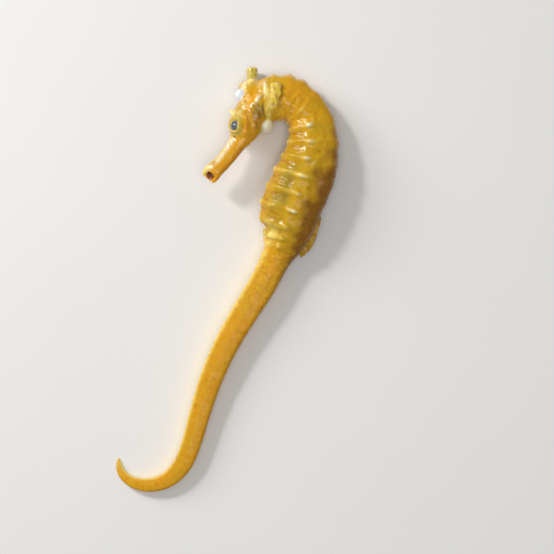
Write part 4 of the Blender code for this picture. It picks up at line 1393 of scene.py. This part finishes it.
class SEAHORSE_OT_coronet(bpy.types.Operator):
    """Model the crown on top of the head"""

    bl_idname = "seahorse.coronet"
    bl_label = "Coronet"

    def execute(self, context):
        piece = coronet_crown()
        piece.data.materials.append(coronet_finish(context.scene.seahorse_look))
        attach(piece, "root")
        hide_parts("coronet")
        return {"FINISHED"}


def membrane(name, grid, ray, root, thickness):
    """Thin closed fin from a grid of points over its rays."""
    deselect_all()
    rows, columns = grid.shape[:2]
    bpy.ops.mesh.primitive_grid_add(x_subdivisions=columns - 1, y_subdivisions=rows - 1, size=1.0)
    piece = bpy.context.object
    piece.name = name
    piece.data.name = name
    mesh = piece.data
    start = np.zeros(len(mesh.vertices) * 3)
    mesh.vertices.foreach_get("co", start)
    start = start.reshape(-1, 3) + 0.5
    column = np.rint(start[:, 0] * (columns - 1)).astype(int)
    row = np.rint(start[:, 1] * (rows - 1)).astype(int)
    mesh.vertices.foreach_set("co", (grid[row, column] * MM).ravel())
    for mark, values in (("ray", ray), ("root", root)):
        layer = mesh.attributes.new(mark, "FLOAT", "POINT")
        layer.data.foreach_set("value", values[row, column].astype(np.float32))
    group = piece.vertex_groups.new(name="thick")
    for vertex, firm in enumerate(ray[row, column]):
        group.add([vertex], 0.35 + 0.65 * float(firm), "REPLACE")
    wall = piece.modifiers.new("wall", "SOLIDIFY")
    wall.thickness = thickness * MM
    wall.offset = 0.0
    wall.vertex_group = "thick"
    wall.use_even_offset = False
    apply_modifiers(piece)
    bpy.ops.object.mode_set(mode="EDIT")
    bpy.ops.mesh.select_all(action="SELECT")
    bpy.ops.mesh.normals_make_consistent(inside=False)
    bpy.ops.object.mode_set(mode="OBJECT")
    bpy.ops.object.shade_smooth()
    return piece


def ray_pattern(rays, columns):
    """How close each column of a fin is to a ray, 0 to 1."""
    t = np.linspace(0.0, rays - 1.0, columns)
    return np.exp(-(np.abs(t - np.rint(t)) / 0.2) ** 2)


def median_fin(name, sizes, side, rays):
    """Fin on the middle line of the back (side 1) or of the belly (side -1)."""
    start, end, height, lean = sizes
    columns, rows = (rays - 1) * 6 + 1, 13
    t = np.linspace(0.0, 1.0, columns)[None, :]
    v = np.linspace(0.0, 1.0, rows)[:, None]
    s = start + (end - start) * t
    up, _ = body_sizes(s[0])
    edge = up.max(axis=1) if side > 0.0 else -up.min(axis=1)
    tall = height * (0.25 + 0.75 * np.sin(math.pi * np.minimum(0.06 + 0.86 * t, 1.0)) ** 0.7)
    ray = ray_pattern(rays, columns)
    tall = tall * (1.0 - 0.07 * (1.0 - ray)) + FIN_SUNK
    angle = math.radians(lean)
    root = BODY.spots(s[0], (edge - FIN_SUNK) * side, 0.0)[None, :, :2]
    way = BODY.up(s[0]) * side * math.cos(angle) + BODY.along(s[0]) * math.sin(angle)
    flat = root + way[None] * (tall * v)[..., None]
    wave = np.sin(t * 21.0 + v * 1.4) * 0.5 * v + np.sin(t * 9.0 + 1.0) * 0.7 * v ** 2
    z = body_height(s) + wave * height / 5.0 - 0.3 * v ** 2 * height / 5.0
    grid = np.concatenate((flat, np.broadcast_to(z, flat.shape[:2])[..., None]), -1)
    ray = np.broadcast_to(ray, (rows, columns)) * (1.0 - 0.5 * v)
    root_mark = np.broadcast_to(1.0 - smooth(v / 0.4), ray.shape)
    return membrane(name, grid, ray, root_mark, MEDIAN_THICKNESS)


class SEAHORSE_OT_median_fins(bpy.types.Operator):
    """Model the fin of the back and the small fin at the vent"""

    bl_idname = "seahorse.median_fins"
    bl_label = "Back and vent fins"

    def execute(self, context):
        look = context.scene.seahorse_look
        amber = fin_finish("back_fin_finish", look, look.fin_amber, look.straw)
        pale = fin_finish("pale_fin_finish", look, look.cream, look.glow)
        for name, node, sizes, side, rays, material in (
                ("back_fin", "dorsal_fin", DORSAL_FIN, 1.0, DORSAL_RAYS, amber),
                ("vent_fin", "anal_fin", ANAL_FIN, -1.0, ANAL_RAYS, pale)):
            piece = median_fin(name, sizes, side, rays)
            piece.data.materials.append(material)
            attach(piece, "root")
            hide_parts(node)
        return {"FINISHED"}


def flank(s, up):
    """Distance from the middle plane to the skin of the body at a height."""
    heights, outs = body_sizes(np.atleast_1d(s))
    half = SIDES // 2 + 1
    order = np.argsort(heights[0, :half])
    return float(np.interp(up, heights[0, :half][order], outs[0, :half][order]))


def pectoral_fin(name, side):
    """Small crumpled fan on the flank, right behind the shoulder ring."""
    rows = 17
    columns = (PECTORAL_RAYS - 1) * 5 + 1
    grid = np.zeros((rows, columns, 3))
    ray = ray_pattern(PECTORAL_RAYS, columns)
    for column in range(columns):
        t = column / (columns - 1)
        root_up = PECTORAL_LOW + PECTORAL_ROOT * t
        spread = math.radians(PECTORAL_SPREAD * (t - 0.5))
        ragged = 0.06 * math.sin(t * 17.0) + 0.06 * math.sin(t * 7.0 + 2.0)
        long = PECTORAL_LENGTH * (0.75 + 0.25 * math.sin(math.pi * t) + ragged)
        for row in range(rows):
            v = row / (rows - 1)
            s = RING_LENGTH + 0.1 + long * v * math.cos(spread)
            up = root_up + long * v * math.sin(spread)
            fold = 0.65 * math.sin(t * 21.0 + v * 4.0) * v * (1.0 - 0.6 * v)
            fold += 0.45 * math.sin(t * 9.0 + v * 9.0) * v * (1.0 - 0.6 * v)
            lie = 1.0 + 1.9 * v * (1.0 - 0.9 * v) + fold
            grid[row, column] = body_spots(np.float64(s), up, (flank(s, up) + lie) * side)
    grid = turn_rows(grid, [float(Skin.turn_share(PECTORAL_AT))] * rows)
    grid[..., 2] = np.maximum(grid[..., 2], 0.15)
    v = np.linspace(0.0, 1.0, rows)[:, None]
    ray = np.broadcast_to(ray, (rows, columns)) * (1.0 - 0.4 * v)
    root_mark = np.broadcast_to(1.0 - smooth(v / 0.5), ray.shape)
    return membrane(name, grid, ray, root_mark, PECTORAL_THICKNESS)


class SEAHORSE_OT_pectoral_fins(bpy.types.Operator):
    """Model the small folded fins behind the head"""

    bl_idname = "seahorse.pectoral_fins"
    bl_label = "Side fins"

    def execute(self, context):
        look = context.scene.seahorse_look
        material = fin_finish("side_fin_finish", look, look.straw, look.cream)
        for side, name in ((1.0, "left"), (-1.0, "right")):
            piece = pectoral_fin("side_fin_" + name, side)
            piece.data.materials.append(material)
            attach(piece, "root")
            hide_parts("pectoral_fin_" + name)
        return {"FINISHED"}


VIEW_CENTRE = (20.3, 0.7)
SKY_COLOUR = (0.88, 0.87, 0.85, 1.0)
SENSOR_WIDTH = 36.0
FLOOR_SIZE = 4.0                           # metres
# name, place from the view centre in metres, size, share of the power, colour
LAMPS = (
    ("window_light", (-0.78, 0.45, 0.40), 0.45, 0.80, (0.98, 0.98, 1.0)),
    ("lamp_light", (-0.57, 0.50, 0.64), 0.16, 0.80, (1.0, 0.98, 0.95)),
    ("top_light", (0.05, -0.10, 0.90), 0.60, 0.50, (0.98, 0.99, 1.0)),
)


def area_light(name, place, target, size, power, colour):
    """Soft box that looks at a target."""
    bpy.ops.object.light_add(type="AREA", location=place)
    lamp = bpy.context.object
    lamp.name = name
    lamp.data.shape = "DISK"
    lamp.data.size = size
    lamp.data.energy = power
    lamp.data.color = colour
    way = Vector(target) - Vector(place)
    lamp.rotation_euler = way.to_track_quat("-Z", "Y").to_euler()
    return lamp


class SEAHORSE_OT_stage(bpy.types.Operator):
    """Make the floor, the lights and the camera"""

    bl_idname = "seahorse.stage"
    bl_label = "Stage"

    def execute(self, context):
        stage = context.scene.seahorse_stage
        centre = Vector((VIEW_CENTRE[0] * MM, VIEW_CENTRE[1] * MM, 0.0))
        deselect_all()
        bpy.ops.mesh.primitive_plane_add(size=FLOOR_SIZE, location=(centre.x, centre.y, 0.0))
        floor = bpy.context.object
        floor.name = "floor"
        bpy.ops.object.transform_apply(location=True)
        floor.data.materials.append(floor_finish())
        for name, offset, size, share, colour in LAMPS:
            area_light(name, centre + Vector(offset), centre, size, stage.light_power * share,
                       colour)
        world = bpy.data.worlds.new("studio")
        world.use_nodes = True
        background = world.node_tree.nodes["Background"]
        background.inputs["Color"].default_value = SKY_COLOUR
        background.inputs["Strength"].default_value = stage.sky
        context.scene.world = world
        bpy.ops.object.camera_add(location=centre + Vector((0.0, 0.0, stage.camera_height)),
                                  rotation=(0.0, 0.0, 0.0))
        camera = bpy.context.object
        camera.name = "camera"
        camera.data.lens = stage.lens
        camera.data.sensor_width = SENSOR_WIDTH
        camera.data.dof.use_dof = False
        context.scene.camera = camera
        context.scene.view_settings.view_transform = "Standard"
        return {"FINISHED"}


class SEAHORSE_PT_panel(bpy.types.Panel):
    """Pieces of the seahorse"""

    bl_idname = "SEAHORSE_PT_panel"
    bl_label = "Seahorse"
    bl_space_type = "VIEW_3D"
    bl_region_type = "UI"
    bl_category = "Seahorse"

    def draw(self, context):
        column = self.layout.column()
        for group in (context.scene.seahorse_look, context.scene.seahorse_stage):
            for name in group.bl_rna.properties.keys():
                if name not in ("rna_type", "name"):
                    column.prop(group, name)
        for operator in OPERATORS:
            column.operator(operator.bl_idname)


OPERATORS = (SEAHORSE_OT_skin, SEAHORSE_OT_eyes, SEAHORSE_OT_coronet, SEAHORSE_OT_median_fins,
             SEAHORSE_OT_pectoral_fins, SEAHORSE_OT_stage)
CLASSES = (SeahorseLook, SeahorseStage, *OPERATORS, SEAHORSE_PT_panel)


def register():
    """Register the classes and the settings."""
    for item in CLASSES:
        bpy.utils.register_class(item)
    bpy.types.Scene.seahorse_look = bpy.props.PointerProperty(type=SeahorseLook)
    bpy.types.Scene.seahorse_stage = bpy.props.PointerProperty(type=SeahorseStage)


def unregister():
    """Undo register."""
    del bpy.types.Scene.seahorse_stage
    del bpy.types.Scene.seahorse_look
    for item in reversed(CLASSES):
        bpy.utils.unregister_class(item)


def main():
    """Make every piece and the stage."""
    register()
    bpy.ops.seahorse.skin()
    bpy.ops.seahorse.eyes()
    bpy.ops.seahorse.coronet()
    bpy.ops.seahorse.median_fins()
    bpy.ops.seahorse.pectoral_fins()
    bpy.ops.seahorse.stage()


if __name__ == "__main__":
    main()
